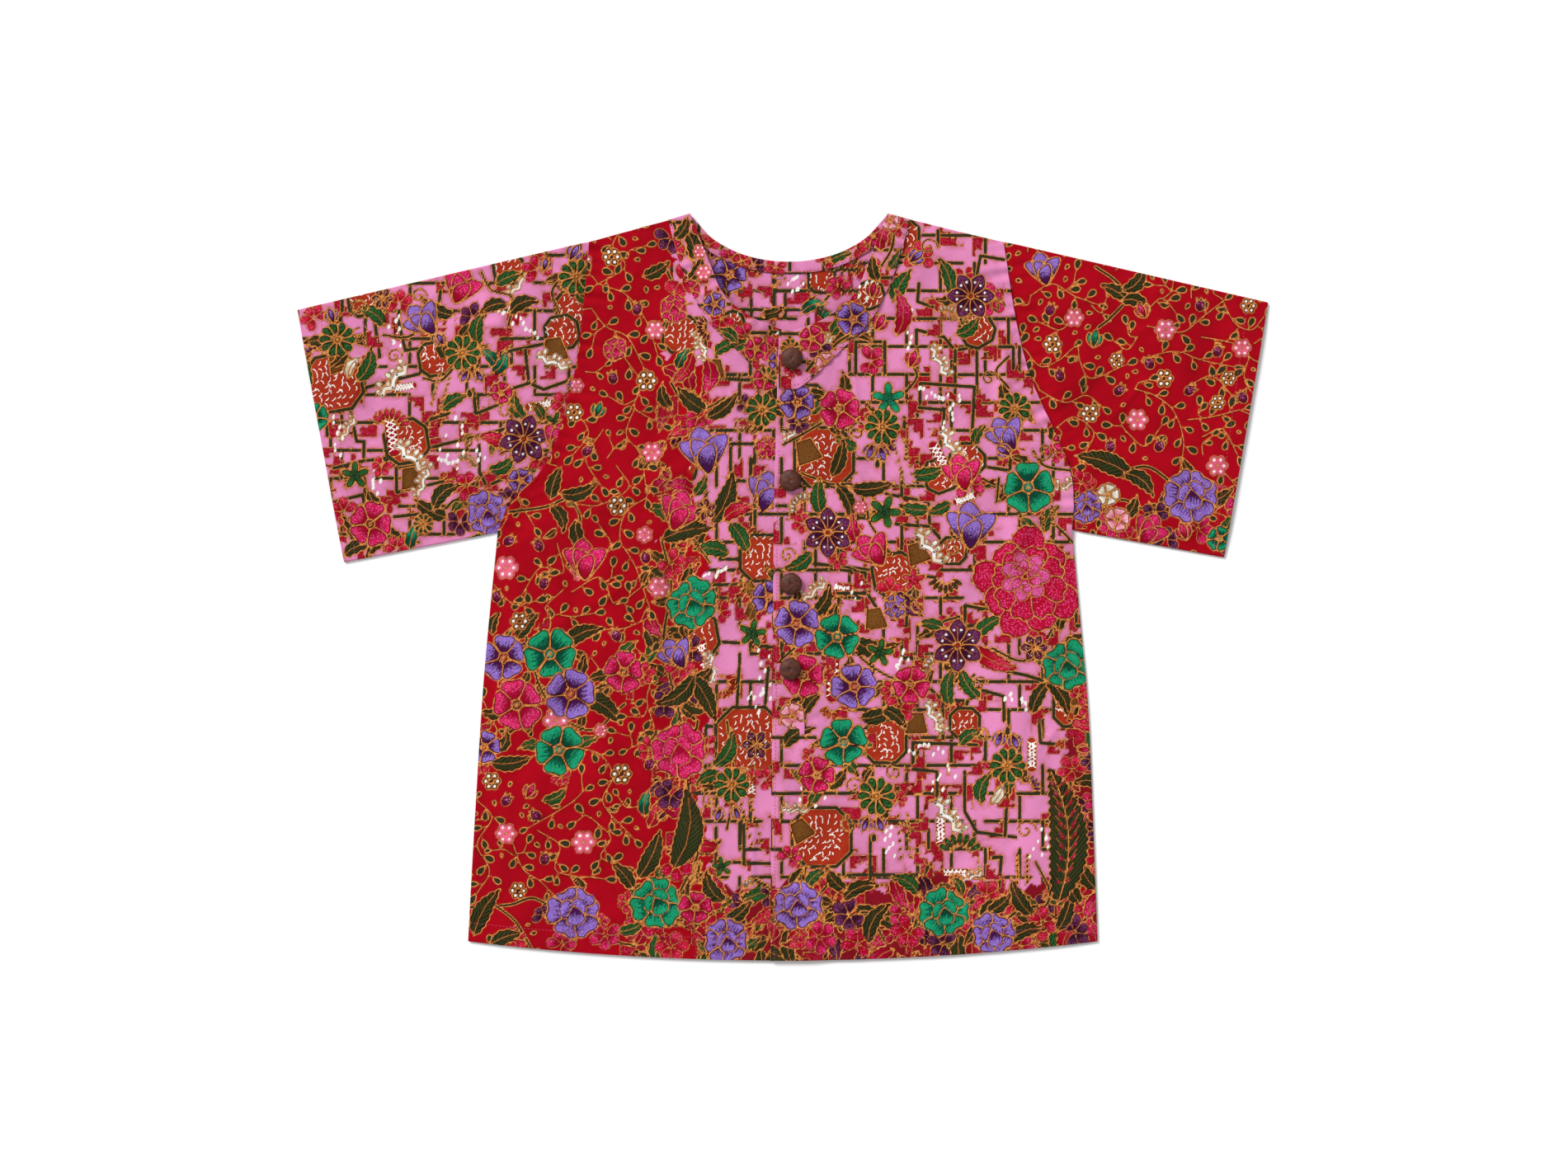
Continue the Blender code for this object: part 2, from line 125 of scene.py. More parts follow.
# What lies between or on the layers raises the ones above it
STACK_EXTRA = 0.3
BINDING_CLEARANCE_REACH = 34.0
LAP_MARGIN = 2.0
LAP_FADE = 26.0
BAND_FOOT_MARGIN = 24.0
BAND_FOOT_FADE = 16.0

# A fold fades out over this share of its length, which starts this far beyond its ends
FOLD_FADE = 0.35
FOLD_OVERRUN = 0.15

# Soft folds as ridges or troughs. Width is the Gaussian half width across, height is negative for a trough
BODY_FOLDS = [
    # x0, y0, x1, y1, width, height
    (-104, 120, -106, -150, 8, 1.5), (-93, 96, -92, -168, 7, -1.3), (-146, 30, -150, -190, 11, 1.1),
    (-205, 52, -176, -40, 9, 1.7), (-226, 10, -214, -120, 8, 1.3), (-168, 150, -150, 60, 8, 1.6),
    (-30, -110, -26, -290, 7, 1), (-62, 30, -60, -80, 9, 0.9), (-202, -150, -212, -280, 13, 1.1),
    (-90, -215, -88, -295, 11, 0.9), (184, 222, 181, 128, 6.5, 2.4), (171, 205, 170, 120, 6, -1.2),
    (206, 130, 190, 20, 8.5, 2.2), (224, 78, 176, 10, 8, 1.8), (226, 26, 214, -100, 9, 1.5),
    (150, 120, 146, -30, 10, 1), (92, 60, 94, -120, 10, 1.2), (46, 40, 48, -70, 9, 0.9),
    (196, -120, 206, -280, 12, 1.2), (118, -170, 122, -296, 11, 1.1), (56, -190, 58, -300, 9, 0.8),
    (82, 268, 92, 228, 5.5, 1.2),
]
SLEEVE_FOLDS = {
    "left": [
        (-232, 118, -330, 96, 9, 1.6), (-206, 128, -262, 190, 9, 1.4), (-244, 84, -318, 56, 8, 1.4),
        (-286, 190, -366, 168, 11, 1.2), (-196, 206, -246, 232, 8, 1), (-330, 132, -374, 116, 9, 0.9),
    ],
    "right": [
        (246, 110, 336, 96, 9, 1.5), (224, 156, 284, 196, 9, 1.3), (254, 76, 322, 54, 8, 1.6),
        (290, 200, 368, 176, 11, 1.2), (214, 222, 262, 242, 8, 0.9), (336, 136, 376, 122, 9, 0.9),
    ],
}

# Buttons down the right front. The first lies on the neckband
BUTTONS = [
    # x, y
    (7.4, 187.7), (6.2, 87.7), (6.8, 2.7), (6.2, -67.3),
]
BUTTON_PROFILE = [
    # distance from the axis, height above the foot
    (0, 5.5), (1.1, 5.75), (2.1, 6.15), (4.4, 5.95), (6.6, 5.25), (8.2, 4.1),
    (9, 2.9), (8.5, 2.1), (6.6, 1.7), (2.8, 1.6), (2.8, 0), (0, 0),
]

BINDING_WIDTH = 9.5
BINDING_END = 0.05

# How finely the outlines are divided where the solids' form is worked out, as in the solids
SIDE_ROWS = 20
ARMHOLE_ROWS = 14
NECK_SHARE = 0.30
OUTLINE_STEPS = 24
CURVE_POINTS = 161
KNOT_STEPS = 40
SHOULDER_SHARE = 0.2
# The least height of a face above the surface, and how far the binding arches up
FACE_LIFT = 0.02
BINDING_CROWN = 0.25


def spline(points, count):
    """Points evenly spaced along a smooth curve through the given ones."""
    knots = np.asarray(points, float)
    before = 2 * knots[0] - knots[1]
    after = 2 * knots[-1] - knots[-2]
    padded = np.vstack([before, knots, after])
    fine = []
    for i in range(len(knots) - 1):
        p0, p1, p2, p3 = padded[i : i + 4]
        t = np.linspace(0, 1, KNOT_STEPS, endpoint=False)[:, None]
        slope_in, slope_out = (p2 - p0) / 2, (p3 - p1) / 2
        fine.append(
            p1 * (1 - 3 * t**2 + 2 * t**3)
            + p2 * (3 * t**2 - 2 * t**3)
            + slope_in * (t - 2 * t**2 + t**3)
            + slope_out * (t**3 - t**2)
        )
    return resample(np.vstack(fine + [knots[-1:]]), count)


def resample(line, count):
    """The polyline again with count points evenly spaced along it."""
    step = np.linalg.norm(np.diff(line, axis=0), axis=1)
    along = np.concatenate([[0], np.cumsum(step)])
    wanted = np.linspace(0, along[-1], count)
    return np.stack([np.interp(wanted, along, line[:, k]) for k in range(line.shape[1])], axis=1)


def line_between(start, end, count):
    """Evenly spaced points on a straight line."""
    share = np.linspace(0, 1, count)[:, None]
    return np.asarray(start, float) * (1 - share) + np.asarray(end, float) * share


def offset_line(line, distance):
    """The polyline moved sideways, to the left of its direction of travel."""
    along = np.gradient(line, axis=0)
    along /= np.linalg.norm(along, axis=1)[:, None]
    return line + distance * np.stack([-along[:, 1], along[:, 0]], axis=1)


def distance_to(points, line):
    """How far each point is from a polyline."""
    best = np.full(points.shape[:-1], np.inf)
    for start, end in zip(line[:-1], line[1:]):
        run = end - start
        share = np.clip(((points - start) @ run) / (run @ run), 0, 1)
        best = np.minimum(best, np.linalg.norm(points - start - share[..., None] * run, axis=-1))
    return best


def nearest_on(points, line):
    """How far each point is from a polyline, and how far along the line its nearest place is."""
    best = np.full(points.shape[:-1], np.inf)
    along = np.zeros(points.shape[:-1])
    done = 0.0
    for start, end in zip(line[:-1], line[1:]):
        run = end - start
        length = math.sqrt(run @ run)
        share = np.clip(((points - start) @ run) / length**2, 0, 1)
        away = np.linalg.norm(points - start - share[..., None] * run, axis=-1)
        closer = away < best
        best[closer] = away[closer]
        along[closer] = done + share[closer] * length
        done += length
    return best, along


def smooth_step(value):
    """0 below 0, 1 above 1 and an even turn in between."""
    share = np.clip(value, 0, 1)
    return share * share * (3 - 2 * share)


def coons(left, right, bottom, top):
    """A grid of points between four edges. Rows run from bottom to top and columns from left to right."""
    v = np.linspace(0, 1, len(left))[:, None, None]
    u = np.linspace(0, 1, len(bottom))[None, :, None]
    across = (1 - u) * left[:, None] + u * right[:, None]
    upward = (1 - v) * bottom[None] + v * top[None]
    corners = (
        (1 - u) * (1 - v) * bottom[0]
        + u * (1 - v) * bottom[-1]
        + (1 - u) * v * top[0]
        + u * v * top[-1]
    )
    return across + upward - corners


def hem_y(x):
    """The hem's gentle curve, lowest at the centre."""
    return HEM_CENTRE_Y + (HEM_CORNER_Y - HEM_CENTRE_Y) * (x / HEM_HALF_WIDTH) ** 2


def neck_line(table, side):
    """A neck table as points, from the neck point of that side to the neck centre."""
    sign = -1 if side == "left" else 1
    return np.array([(NECK_CENTRE_X + sign * across, SHOULDER_Y - depth) for across, depth in table])


def whole_neck(table, count=CURVE_POINTS):
    """A neck table as one curve from the left neck point to the right one."""
    left = neck_line(table, "left")
    right = neck_line(table, "right")[::-1]
    return spline(np.vstack([left, right[1:]]), count)


def cut_at_x(line, x, keep):
    """The part of a left-to-right curve on one side of x, with a new end point there."""
    y = np.interp(x, line[:, 0], line[:, 1])
    if keep == "left":
        return np.vstack([line[line[:, 0] < x], [(x, y)]])
    return np.vstack([[(x, y)], line[line[:, 0] > x]])


def neck_point(side):
    sign = -1 if side == "left" else 1
    return np.array([NECK_CENTRE_X + sign * NECK_HALF_WIDTH, SHOULDER_Y])


def shoulder_tip(side):
    return np.array(ARMHOLE[side][-1])


def front_edge(side, count):
    """The front's centre edge from the hem up to the neck. The left front runs on under the right."""
    edge = spline(FRONT_EDGE, CURVE_POINTS)
    if side == "left":
        edge = edge + np.array([LAP_WIDTH, 0.0])
    neck = whole_neck(FRONT_NECK)
    edge[0, 1] = np.interp(edge[0, 0], neck[:, 0], neck[:, 1])
    edge[-1, 1] = hem_y(edge[-1, 0])
    return resample(edge[::-1], count)


def outer_edge(side, seam_rows=SIDE_ROWS, armhole_rows=ARMHOLE_ROWS):
    """Side seam and armhole together, from the hem to the shoulder tip."""
    seam = resample(spline(SIDE_SEAM[side], SIDE_ROWS + 1), seam_rows + 1)
    armhole = resample(spline(ARMHOLE[side], ARMHOLE_ROWS + 1), armhole_rows + 1)
    return np.vstack([seam, armhole[1:]])


def neck_part(table, side):
    """One front's part of a neck curve, from the top of its centre edge to the shoulder."""
    corner = front_edge(side, CURVE_POINTS)[-1]
    part = cut_at_x(whole_neck(table), corner[0], side)
    return part[::-1] if side == "left" else part


def hem_line(start_x, end_x, count):
    x = np.linspace(start_x, end_x, count)
    return np.stack([x, hem_y(x)], axis=1)


def folds(points, table):
    """The height that a table of soft folds adds. Each fades out towards its two ends."""
    total = np.zeros(points.shape[:-1])
    for x0, y0, x1, y1, width, height in table:
        start, run = np.array([x0, y0]), np.array([x1 - x0, y1 - y0])
        length = np.linalg.norm(run)
        share = ((points - start) @ run) / length**2
        across = np.abs((points - start) @ np.array([-run[1], run[0]])) / length
        start_fade = smooth_step((share + FOLD_OVERRUN) / FOLD_FADE)
        ends = start_fade * smooth_step((1 + FOLD_OVERRUN - share) / FOLD_FADE)
        total += height * ends * np.exp(-((across / width) ** 2))
    return total


SEWN_EDGES = {}


def sewn_edges(side):
    """The edges of one front that are sewn down to the back: side seam, armhole and shoulder."""
    if side not in SEWN_EDGES:
        shoulder = np.array([shoulder_tip(side), neck_point(side)])
        SEWN_EDGES[side] = [outer_edge(side), shoulder]
    return SEWN_EDGES[side]


def rise_from(edge_distance):
    """0 at a sewn edge, and 1 well inside it."""
    return 1 - np.exp(-((edge_distance / EDGE_RISE) ** EDGE_RISE_POWER))


def body_height(points, side):
    """The middle of a front's wall above the surface, before the right front's lap is added."""
    inside = rise_from(np.minimum(*[distance_to(points, line) for line in sewn_edges(side)]))
    above_hem = smooth_step((points[..., 1] - hem_y(points[..., 0])) / HEM_SETTLE)
    puff = BODY_PUFF * (HEM_PUFF_SHARE + (1 - HEM_PUFF_SHARE) * above_hem)
    soft = np.maximum(puff + folds(points, BODY_FOLDS), LEAST_RISE)
    from_neck = distance_to(points, whole_neck(FRONT_NECK, OUTLINE_STEPS)) / NECK_LIFT_REACH
    lifted = NECK_LIFT * np.exp(-(from_neck**2))
    beside_neck = np.linalg.norm(points - neck_point(side), axis=-1) / BINDING_CLEARANCE_REACH
    over_binding = (LAYER + STACK_EXTRA) * (1 - smooth_step(beside_neck))
    return FRONT_MID + inside * (soft + lifted) + over_binding


def lap_lift(points):
    """How far the right front is raised by the left front's lap and neckband under it."""
    edge = front_edge("left", CURVE_POINTS)
    lap_x = np.interp(points[..., 1], edge[:, 1], edge[:, 0])
    over_lap = 1 - smooth_step((points[..., 0] - lap_x - LAP_MARGIN) / LAP_FADE)
    band_foot = SHOULDER_Y - BAND_OUTER[-1][1]
    over_band = smooth_step((points[..., 1] - band_foot + BAND_FOOT_MARGIN) / BAND_FOOT_FADE)
    return over_lap * (LAYER + STACK_EXTRA) * (1 + over_band)


def front_height(points, side):
    height = body_height(points, side)
    return height + lap_lift(points) if side == "right" else height


def band_height(points, side):
    return front_height(points, side) + LAYER + STACK_EXTRA


def with_height(plan, height):
    return np.concatenate([plan, height[..., None]], axis=-1)


# The fine grids of the visible cloth
FRONT_SEAM_ROWS = 250
FRONT_ARMHOLE_ROWS = 190
FRONT_COLUMNS = 200
FINE_BAND_ROWS = 170
FINE_BAND_COLUMNS = 34
SLEEVE_COLUMNS = 176
SLEEVE_UPPER_ROWS = 172
SLEEVE_LOWER_ROWS = 120
BACK_ROWS = 290
BACK_COLUMNS = 250
INSIDE_ROWS = 96
INSIDE_COLUMNS = 160
BINDING_COLUMNS = 120
BINDING_ROWS = 8

# Turned edges: each row is (distance outwards, drop below the cloth's face)
HEM_TURN = [(0.3, 0.08), (0.45, 0.35), (0.35, 0.7), (-1.5, 0.92), (-4.5, 0.95)]
SIDE_TURN = [(0.25, 0.1), (0.35, 0.4), (0.2, 0.75), (-1.5, 0.94), (-4.5, 0.97)]
BAND_TURN = [(0.25, 0.1), (0.35, 0.4), (0.25, 0.8), (-1.2, 1.1), (-3.5, 1.15)]
FOLD_TURNS = 7


def front_plan(side):
    """The fine plan of one front, rows from the hem to the shoulder and columns from left to right."""
    outer = outer_edge(side, FRONT_SEAM_ROWS, FRONT_ARMHOLE_ROWS)
    rows = FRONT_SEAM_ROWS + FRONT_ARMHOLE_ROWS
    neck_rows = round(rows * NECK_SHARE)
    edge = front_edge(side, rows - neck_rows + 1)
    inner = np.vstack([edge, resample(neck_part(FRONT_NECK, side), neck_rows + 1)[1:]])
    left, right = (outer, inner) if side == "left" else (inner, outer)
    bottom = hem_line(left[0, 0], right[0, 0], FRONT_COLUMNS + 1)
    top = line_between(left[-1], right[-1], FRONT_COLUMNS + 1)
    return coons(left, right, bottom, top)


def band_plan(side):
    """The fine plan of one neckband, rows along the neck and columns from the neck edge outwards."""
    neck = resample(neck_part(FRONT_NECK, side), FINE_BAND_ROWS + 1)
    lower = resample(neck_part(BAND_OUTER, side), FINE_BAND_ROWS + 1)
    share = np.linspace(0, 1, FINE_BAND_COLUMNS + 1)[None, :, None]
    return neck[:, None] * (1 - share) + lower[:, None] * share


def sleeve_plan(side, rows):
    """The plan of one sleeve: columns run from the armhole to the cuff, rows from underarm to shoulder."""
    armhole = resample(spline(ARMHOLE[side], ARMHOLE_ROWS + 1), rows + 1)
    outwards = 1 if side == "left" else -1
    armhole = offset_line(armhole, outwards * ARMHOLE_GAP)
    cuff = line_between(CUFF[side]["bottom"], CUFF[side]["top"], rows + 1)
    lower = line_between(armhole[0], cuff[0], SLEEVE_COLUMNS + 1)
    upper = line_between(armhole[-1], cuff[-1], SLEEVE_COLUMNS + 1)
    return coons(armhole, cuff, lower, upper)


def sleeve_height(plan, side):
    """The middle of the wall of the sleeve's upper layer."""
    fold_line = np.array([ARMHOLE[side][-1], CUFF[side]["top"]])
    seam_line = np.array([ARMHOLE[side][0], CUFF[side]["bottom"]])
    armhole = spline(ARMHOLE[side], ARMHOLE_ROWS + 1)
    edge = np.minimum(distance_to(plan, fold_line), distance_to(plan, seam_line))
    edge = np.minimum(edge, distance_to(plan, armhole))
    soft = np.maximum(SLEEVE_PUFF + folds(plan, SLEEVE_FOLDS[side]), LEAST_RISE)
    return FRONT_MID + rise_from(edge) * soft


def turned(points, steps, axis, at_end):
    """The grid with more lines beyond one of its borders, where the cloth turns over and runs back."""
    grid = points if axis == 0 else points.swapaxes(0, 1)
    if at_end:
        grid = grid[::-1]
    out = grid[0] - grid[1]
    out[:, 2] = 0.0
    out /= np.maximum(np.linalg.norm(out, axis=1), 1e-9)[:, None]
    lines = []
    for outwards, drop in steps:
        line = grid[0] + outwards * out
        line[:, 2] = np.maximum(grid[0][:, 2] - drop, FACE_LIFT)
        lines.append(line)
    grid = np.concatenate([np.array(lines[::-1]), grid])
    if at_end:
        grid = grid[::-1]
    return grid if axis == 0 else grid.swapaxes(0, 1)


def turned_all_round(points, rows_start, rows_end, columns_start, columns_end):
    """The grid with turned cloth at each of its four borders."""
    points = turned(turned(points, rows_start, 0, False), rows_end, 0, True)
    return turned(turned(points, columns_start, 1, False), columns_end, 1, True)


def shares_along(points, axis):
    """Where each line of a grid lies between the first and the last, from 0 to 1."""
    steps = np.linalg.norm(np.diff(points, axis=axis), axis=2).mean(1 - axis)
    return np.concatenate([[0], np.cumsum(steps)]) / steps.sum()


def grid_object(name, points, closed=False, face_up=True):
    """A mesh object whose faces join the points of a grid, in millimetres. A closed grid is a tube.

    The columns are turned round where the faces would look inwards. Returns the object and its points.
    """
    run, rise = points[1:, :-1] - points[:-1, :-1], points[:-1, 1:] - points[:-1, :-1]
    normal = np.cross(rise, run)
    if closed:
        facing = (normal * (points[:-1, :-1] - points.mean((0, 1)))).sum() > 0
    else:
        facing = (normal[..., 2].sum() > 0) == face_up
    if not facing:
        points = points[:, ::-1]
    rows, columns = points.shape[:2]
    index = np.arange(rows * columns).reshape(rows, columns)
    laid = points
    if closed:
        index, laid = np.vstack([index, index[:1]]), np.vstack([points, points[:1]])
    faces = np.stack([index[:-1, :-1], index[:-1, 1:], index[1:, 1:], index[1:, :-1]], axis=-1)
    mesh = bpy.data.meshes.new(name)
    mesh.from_pydata(points.reshape(-1, 3) * MM, [], faces.reshape(-1, 4))
    mesh.shade_smooth()
    across, up = shares_along(laid, 1), shares_along(laid, 0)
    across, up = np.broadcast_arrays(across[None, :], up[:, None])
    flat = np.stack([across, up], axis=-1)
    corners = np.stack([flat[:-1, :-1], flat[:-1, 1:], flat[1:, 1:], flat[1:, :-1]], axis=2)
    chart = mesh.uv_layers.new(name="OFBake")
    chart.uv.foreach_set("vector", corners.astype(np.float32).ravel())
    made = bpy.data.objects.new(name, mesh)
    bpy.context.scene.collection.objects.link(made)
    return made, points


# Small unevenness on top of the solids' own folds
RIPPLES = [
    # wave length, height
    (88.0, 0.9), (41.0, 0.5), (19.0, 0.1),
]
RIPPLE_WAVES = 7
RIPPLE_TURN = 0.6
RIPPLE_SPREAD = (0.7, 1.5)
CREASES_PER_PANEL = 34
CREASE_LENGTH = (24.0, 90.0)
CREASE_WIDTH = (2.6, 6.0)
CREASE_HEIGHT = (0.45, 1.25)
CREASE_TURN = 0.7
RAISED_SHARE = 0.6
SUNKEN_DEPTH = 0.7
ARMHOLE_RIDGE = 1.2
ARMHOLE_RIDGE_REACH = 6.0
ARMHOLE_DIP = 0.7
ARMHOLE_DIP_REACH = 6.0
PUCKER_HEIGHT = 0.8
PUCKER_WAVE = 13.0
PUCKER_REACH = 18.0
# Lengths of the waves that make up the puckers, as shares of the one above
PUCKER_WAVES = (0.75, 1.0, 1.45)
# Shares of the puckers' height at the band's outer and inner edge and on the binding
BAND_PUCKERS = (0.9, 0.5)
BINDING_PUCKERS = 0.3
# Share of the ripples' height on the inside of the back
INSIDE_RIPPLES = 0.12
SETTLED_EDGE = 14.0
BODY_RIPPLE_SEED = 11
FRONT_SEED = {"left": 11, "right": 12}
BAND_SEED = {"left": 31, "right": 32}
SLEEVE_SEED = {"left": 41, "right": 42}
INSIDE_SEED = 51
BINDING_SEED = 61
# Added to a seed for the creases, and for the puckers of the band's inner edge
CREASE_SEED = 20
INNER_SEED = 5
STAND_HEIGHT = {"left": 9.0, "right": 4.0}
STAND_REACH = 20.0

# Creases seen in the photograph that are too small for the solids
SHARP_CREASES = {
    "left": [
        # x0, y0, x1, y1, width, height
        (-24, -182, -25, -246, 2.4, 0.7), (-96, 110, -99, -40, 3.0, 0.6), (-228, 66, -176, 88, 3.4, 0.7),
        (-214, 74, -196, 18, 3.6, 0.6), (-120, 262, -146, 226, 3.4, 0.5), (-60, 150, -84, 92, 3.2, 0.5),
        (-238, -60, -222, -150, 3.6, 0.5),
    ],
    "right": [
        (236, 60, 196, 84, 3.4, 0.8), (230, 40, 206, -8, 3.4, 0.7), (178, 250, 170, 190, 3.2, 0.7),
        (96, 262, 112, 226, 3.4, 0.5), (30, 168, 46, 110, 3.2, 0.5), (100, 66, 103, -30, 3.0, 0.5),
        (238, -70, 226, -160, 3.6, 0.5),
    ],
}


def ripples(plan, seed):
    """Gentle unevenness as a sum of long waves, whose crests run mostly from hem to shoulder."""
    draw = np.random.default_rng(seed)
    total = np.zeros(plan.shape[:-1])
    for length, height in RIPPLES:
        for _ in range(RIPPLE_WAVES):
            turn, phase = draw.normal(0, RIPPLE_TURN), draw.uniform(0, 2 * math.pi)
            wave = length * draw.uniform(*RIPPLE_SPREAD)
            across = plan[..., 0] * math.cos(turn) + plan[..., 1] * math.sin(turn)
            total += height * np.sin(across * 2 * math.pi / wave + phase) / math.sqrt(RIPPLE_WAVES)
    return total


def small_creases(plan, seed):
    """Short narrow creases strewn over a panel, mostly along its length."""
    draw = np.random.default_rng(seed)
    low, high = plan.reshape(-1, 2).min(0), plan.reshape(-1, 2).max(0)
    rows = []
    for _ in range(CREASES_PER_PANEL):
        x, y = draw.uniform(low, high)
        turn = draw.normal(math.pi / 2, CREASE_TURN)
        half = draw.uniform(*CREASE_LENGTH) / 2
        width, height = draw.uniform(*CREASE_WIDTH), draw.uniform(*CREASE_HEIGHT)
        height *= 1 if draw.uniform() < RAISED_SHARE else -SUNKEN_DEPTH
        run_x, run_y = half * math.cos(turn), half * math.sin(turn)
        rows.append((x - run_x, y - run_y, x + run_x, y + run_y, width, height))
    return folds(plan, rows)


def puckers(plan, line, seed):
    """Small gathers across a seam, which fade out beside it."""
    near, along = nearest_on(plan, line)
    draw = np.random.default_rng(seed)
    wave = np.zeros(near.shape)
    for scale in PUCKER_WAVES:
        wave += np.sin(along * 2 * math.pi / (PUCKER_WAVE * scale) + draw.uniform(0, 2 * math.pi))
    return PUCKER_HEIGHT / 2 * wave * np.exp(-((near / PUCKER_REACH) ** 2))


def settled(plan, lines):
    """0 at the given edges and 1 away from them, to keep the small unevenness off the edges."""
    near = np.min([distance_to(plan, line) for line in lines], axis=0)
    return smooth_step(near / SETTLED_EDGE)


def standing_neck(plan, side):
    """How far the neck edge stands up, most of all half way down."""
    near, along = nearest_on(plan, neck_part(FRONT_NECK, side))
    swell = np.sin(math.pi * along / along.max()) ** 2
    return STAND_HEIGHT[side] * swell * np.exp(-((near / STAND_REACH) ** 2))


def front_surface(side):
    """The face of one front's cloth."""
    plan = front_plan(side)
    armhole = spline(ARMHOLE[side], ARMHOLE_ROWS + 1)
    seed = FRONT_SEED[side]
    near, _ = nearest_on(plan, armhole)
    ridge = ARMHOLE_RIDGE * np.exp(-((near / ARMHOLE_RIDGE_REACH) ** 2))
    hem = hem_line(-HEM_HALF_WIDTH, HEM_HALF_WIDTH, OUTLINE_STEPS)
    seats = [np.array([(x, y), (x, y + 1)]) for x, y in BUTTONS]
    calm = settled(plan, [outer_edge(side), hem, front_edge(side, OUTLINE_STEPS), *seats])
    creases = small_creases(plan, seed + CREASE_SEED)
    detail = ripples(plan, BODY_RIPPLE_SEED) + creases + folds(plan, SHARP_CREASES[side])
    height = front_height(plan, side) + WALL / 2 + ridge + calm * detail + puckers(plan, armhole, seed)
    return with_height(plan, height + standing_neck(plan, side))


def make_front(side, surface):
    """One front with its hem and its edges turned under."""
    first, last = (SIDE_TURN, HEM_TURN) if side == "left" else (HEM_TURN, SIDE_TURN)
    points = turned_all_round(surface, HEM_TURN, SIDE_TURN, first, last)
    return grid_object(f"front_{side}_cloth", points)


def neckband_surface(side):
    """The shaped band on the neckline, with the small gathers of a band turned under by hand."""
    plan = band_plan(side)
    outer = neck_part(BAND_OUTER, side)
    inner = neck_part(FRONT_NECK, side)
    seed = BAND_SEED[side]
    height = band_height(plan, side) + WALL / 2 + ripples(plan, BODY_RIPPLE_SEED) + standing_neck(plan, side)
    height += puckers(plan, resample(outer, OUTLINE_STEPS), seed) * BAND_PUCKERS[0]
    height += puckers(plan, resample(inner, OUTLINE_STEPS), seed + INNER_SEED) * BAND_PUCKERS[1]
    return with_height(plan, height)


def make_neckband(side, surface):
    points = turned_all_round(surface, BAND_TURN, SIDE_TURN, BAND_TURN, BAND_TURN)
    return grid_object(f"neckband_{side}_cloth", points)


UP = np.array([0.0, 0.0, 1.0])


def fold_round(high, low, before):
    """The half circle from the lower layer to the upper one beyond a folded edge, and its outward ways."""
    out = high - before
    out[2] = 0.0
    out /= np.linalg.norm(out)
    turns = np.linspace(-math.pi / 2, math.pi / 2, FOLD_TURNS + 2)[1:-1, None]
    ways = np.cos(turns) * out + np.sin(turns) * UP
    return (high + low) / 2 + np.linalg.norm(high - low) / 2 * ways, ways


def sleeve_surface(side):
    """The face of the sleeve's upper layer."""
    plan = sleeve_plan(side, SLEEVE_UPPER_ROWS)
    seed = SLEEVE_SEED[side]
    armhole = spline(ARMHOLE[side], ARMHOLE_ROWS + 1)
    near, _ = nearest_on(plan, armhole)
    fold_line = np.array([ARMHOLE[side][-1], CUFF[side]["top"]])
    seam_line = np.array([ARMHOLE[side][0], CUFF[side]["bottom"]])
    cuff_line = np.array([CUFF[side]["bottom"], CUFF[side]["top"]])
    calm = settled(plan, [fold_line, seam_line, cuff_line, armhole])
    dip = ARMHOLE_DIP * np.exp(-((near / ARMHOLE_DIP_REACH) ** 2))
    detail = ripples(plan, seed) + small_creases(plan, seed + CREASE_SEED) + puckers(plan, armhole, seed)
    return with_height(plan, sleeve_height(plan, side) + WALL / 2 + calm * detail - dip)


def make_sleeve(side, over):
    """A sleeve as a flattened tube, fine on top, with its edges turned in at the cuff and the armhole."""
    under_plan = sleeve_plan(side, SLEEVE_LOWER_ROWS)
    under = with_height(under_plan, np.zeros(under_plan.shape[:2]))
    rings, inwards = [], []
    for i in range(over.shape[1]):
        top_arc, top_ways = fold_round(over[-1, i], under[-1, i], over[-2, i])
        low_arc, low_ways = fold_round(over[0, i], under[0, i], over[1, i])
        rings.append(np.vstack([under[:, i], top_arc, over[::-1, i], low_arc[::-1]]))
        upwards, downwards = np.tile(UP, (len(under), 1)), np.tile(-UP, (len(over), 1))
        inwards.append(np.vstack([upwards, -top_ways, downwards, -low_ways[::-1]]))
    grid, inward = np.array(rings), np.array(inwards)
    ends = []
    for index, other in ((0, 1), (-1, -2)):
        out = grid[index] - grid[other]
        out[:, 2] = 0.0
        out /= np.linalg.norm(out, axis=1)[:, None]
        ends.append([grid[index] + beyond * out + drop * inward[index] for beyond, drop in SIDE_TURN])
    points = np.concatenate([ends[0][::-1], grid, ends[1]]).swapaxes(0, 1)
    return grid_object(f"sleeve_{side}_cloth", points, closed=True)


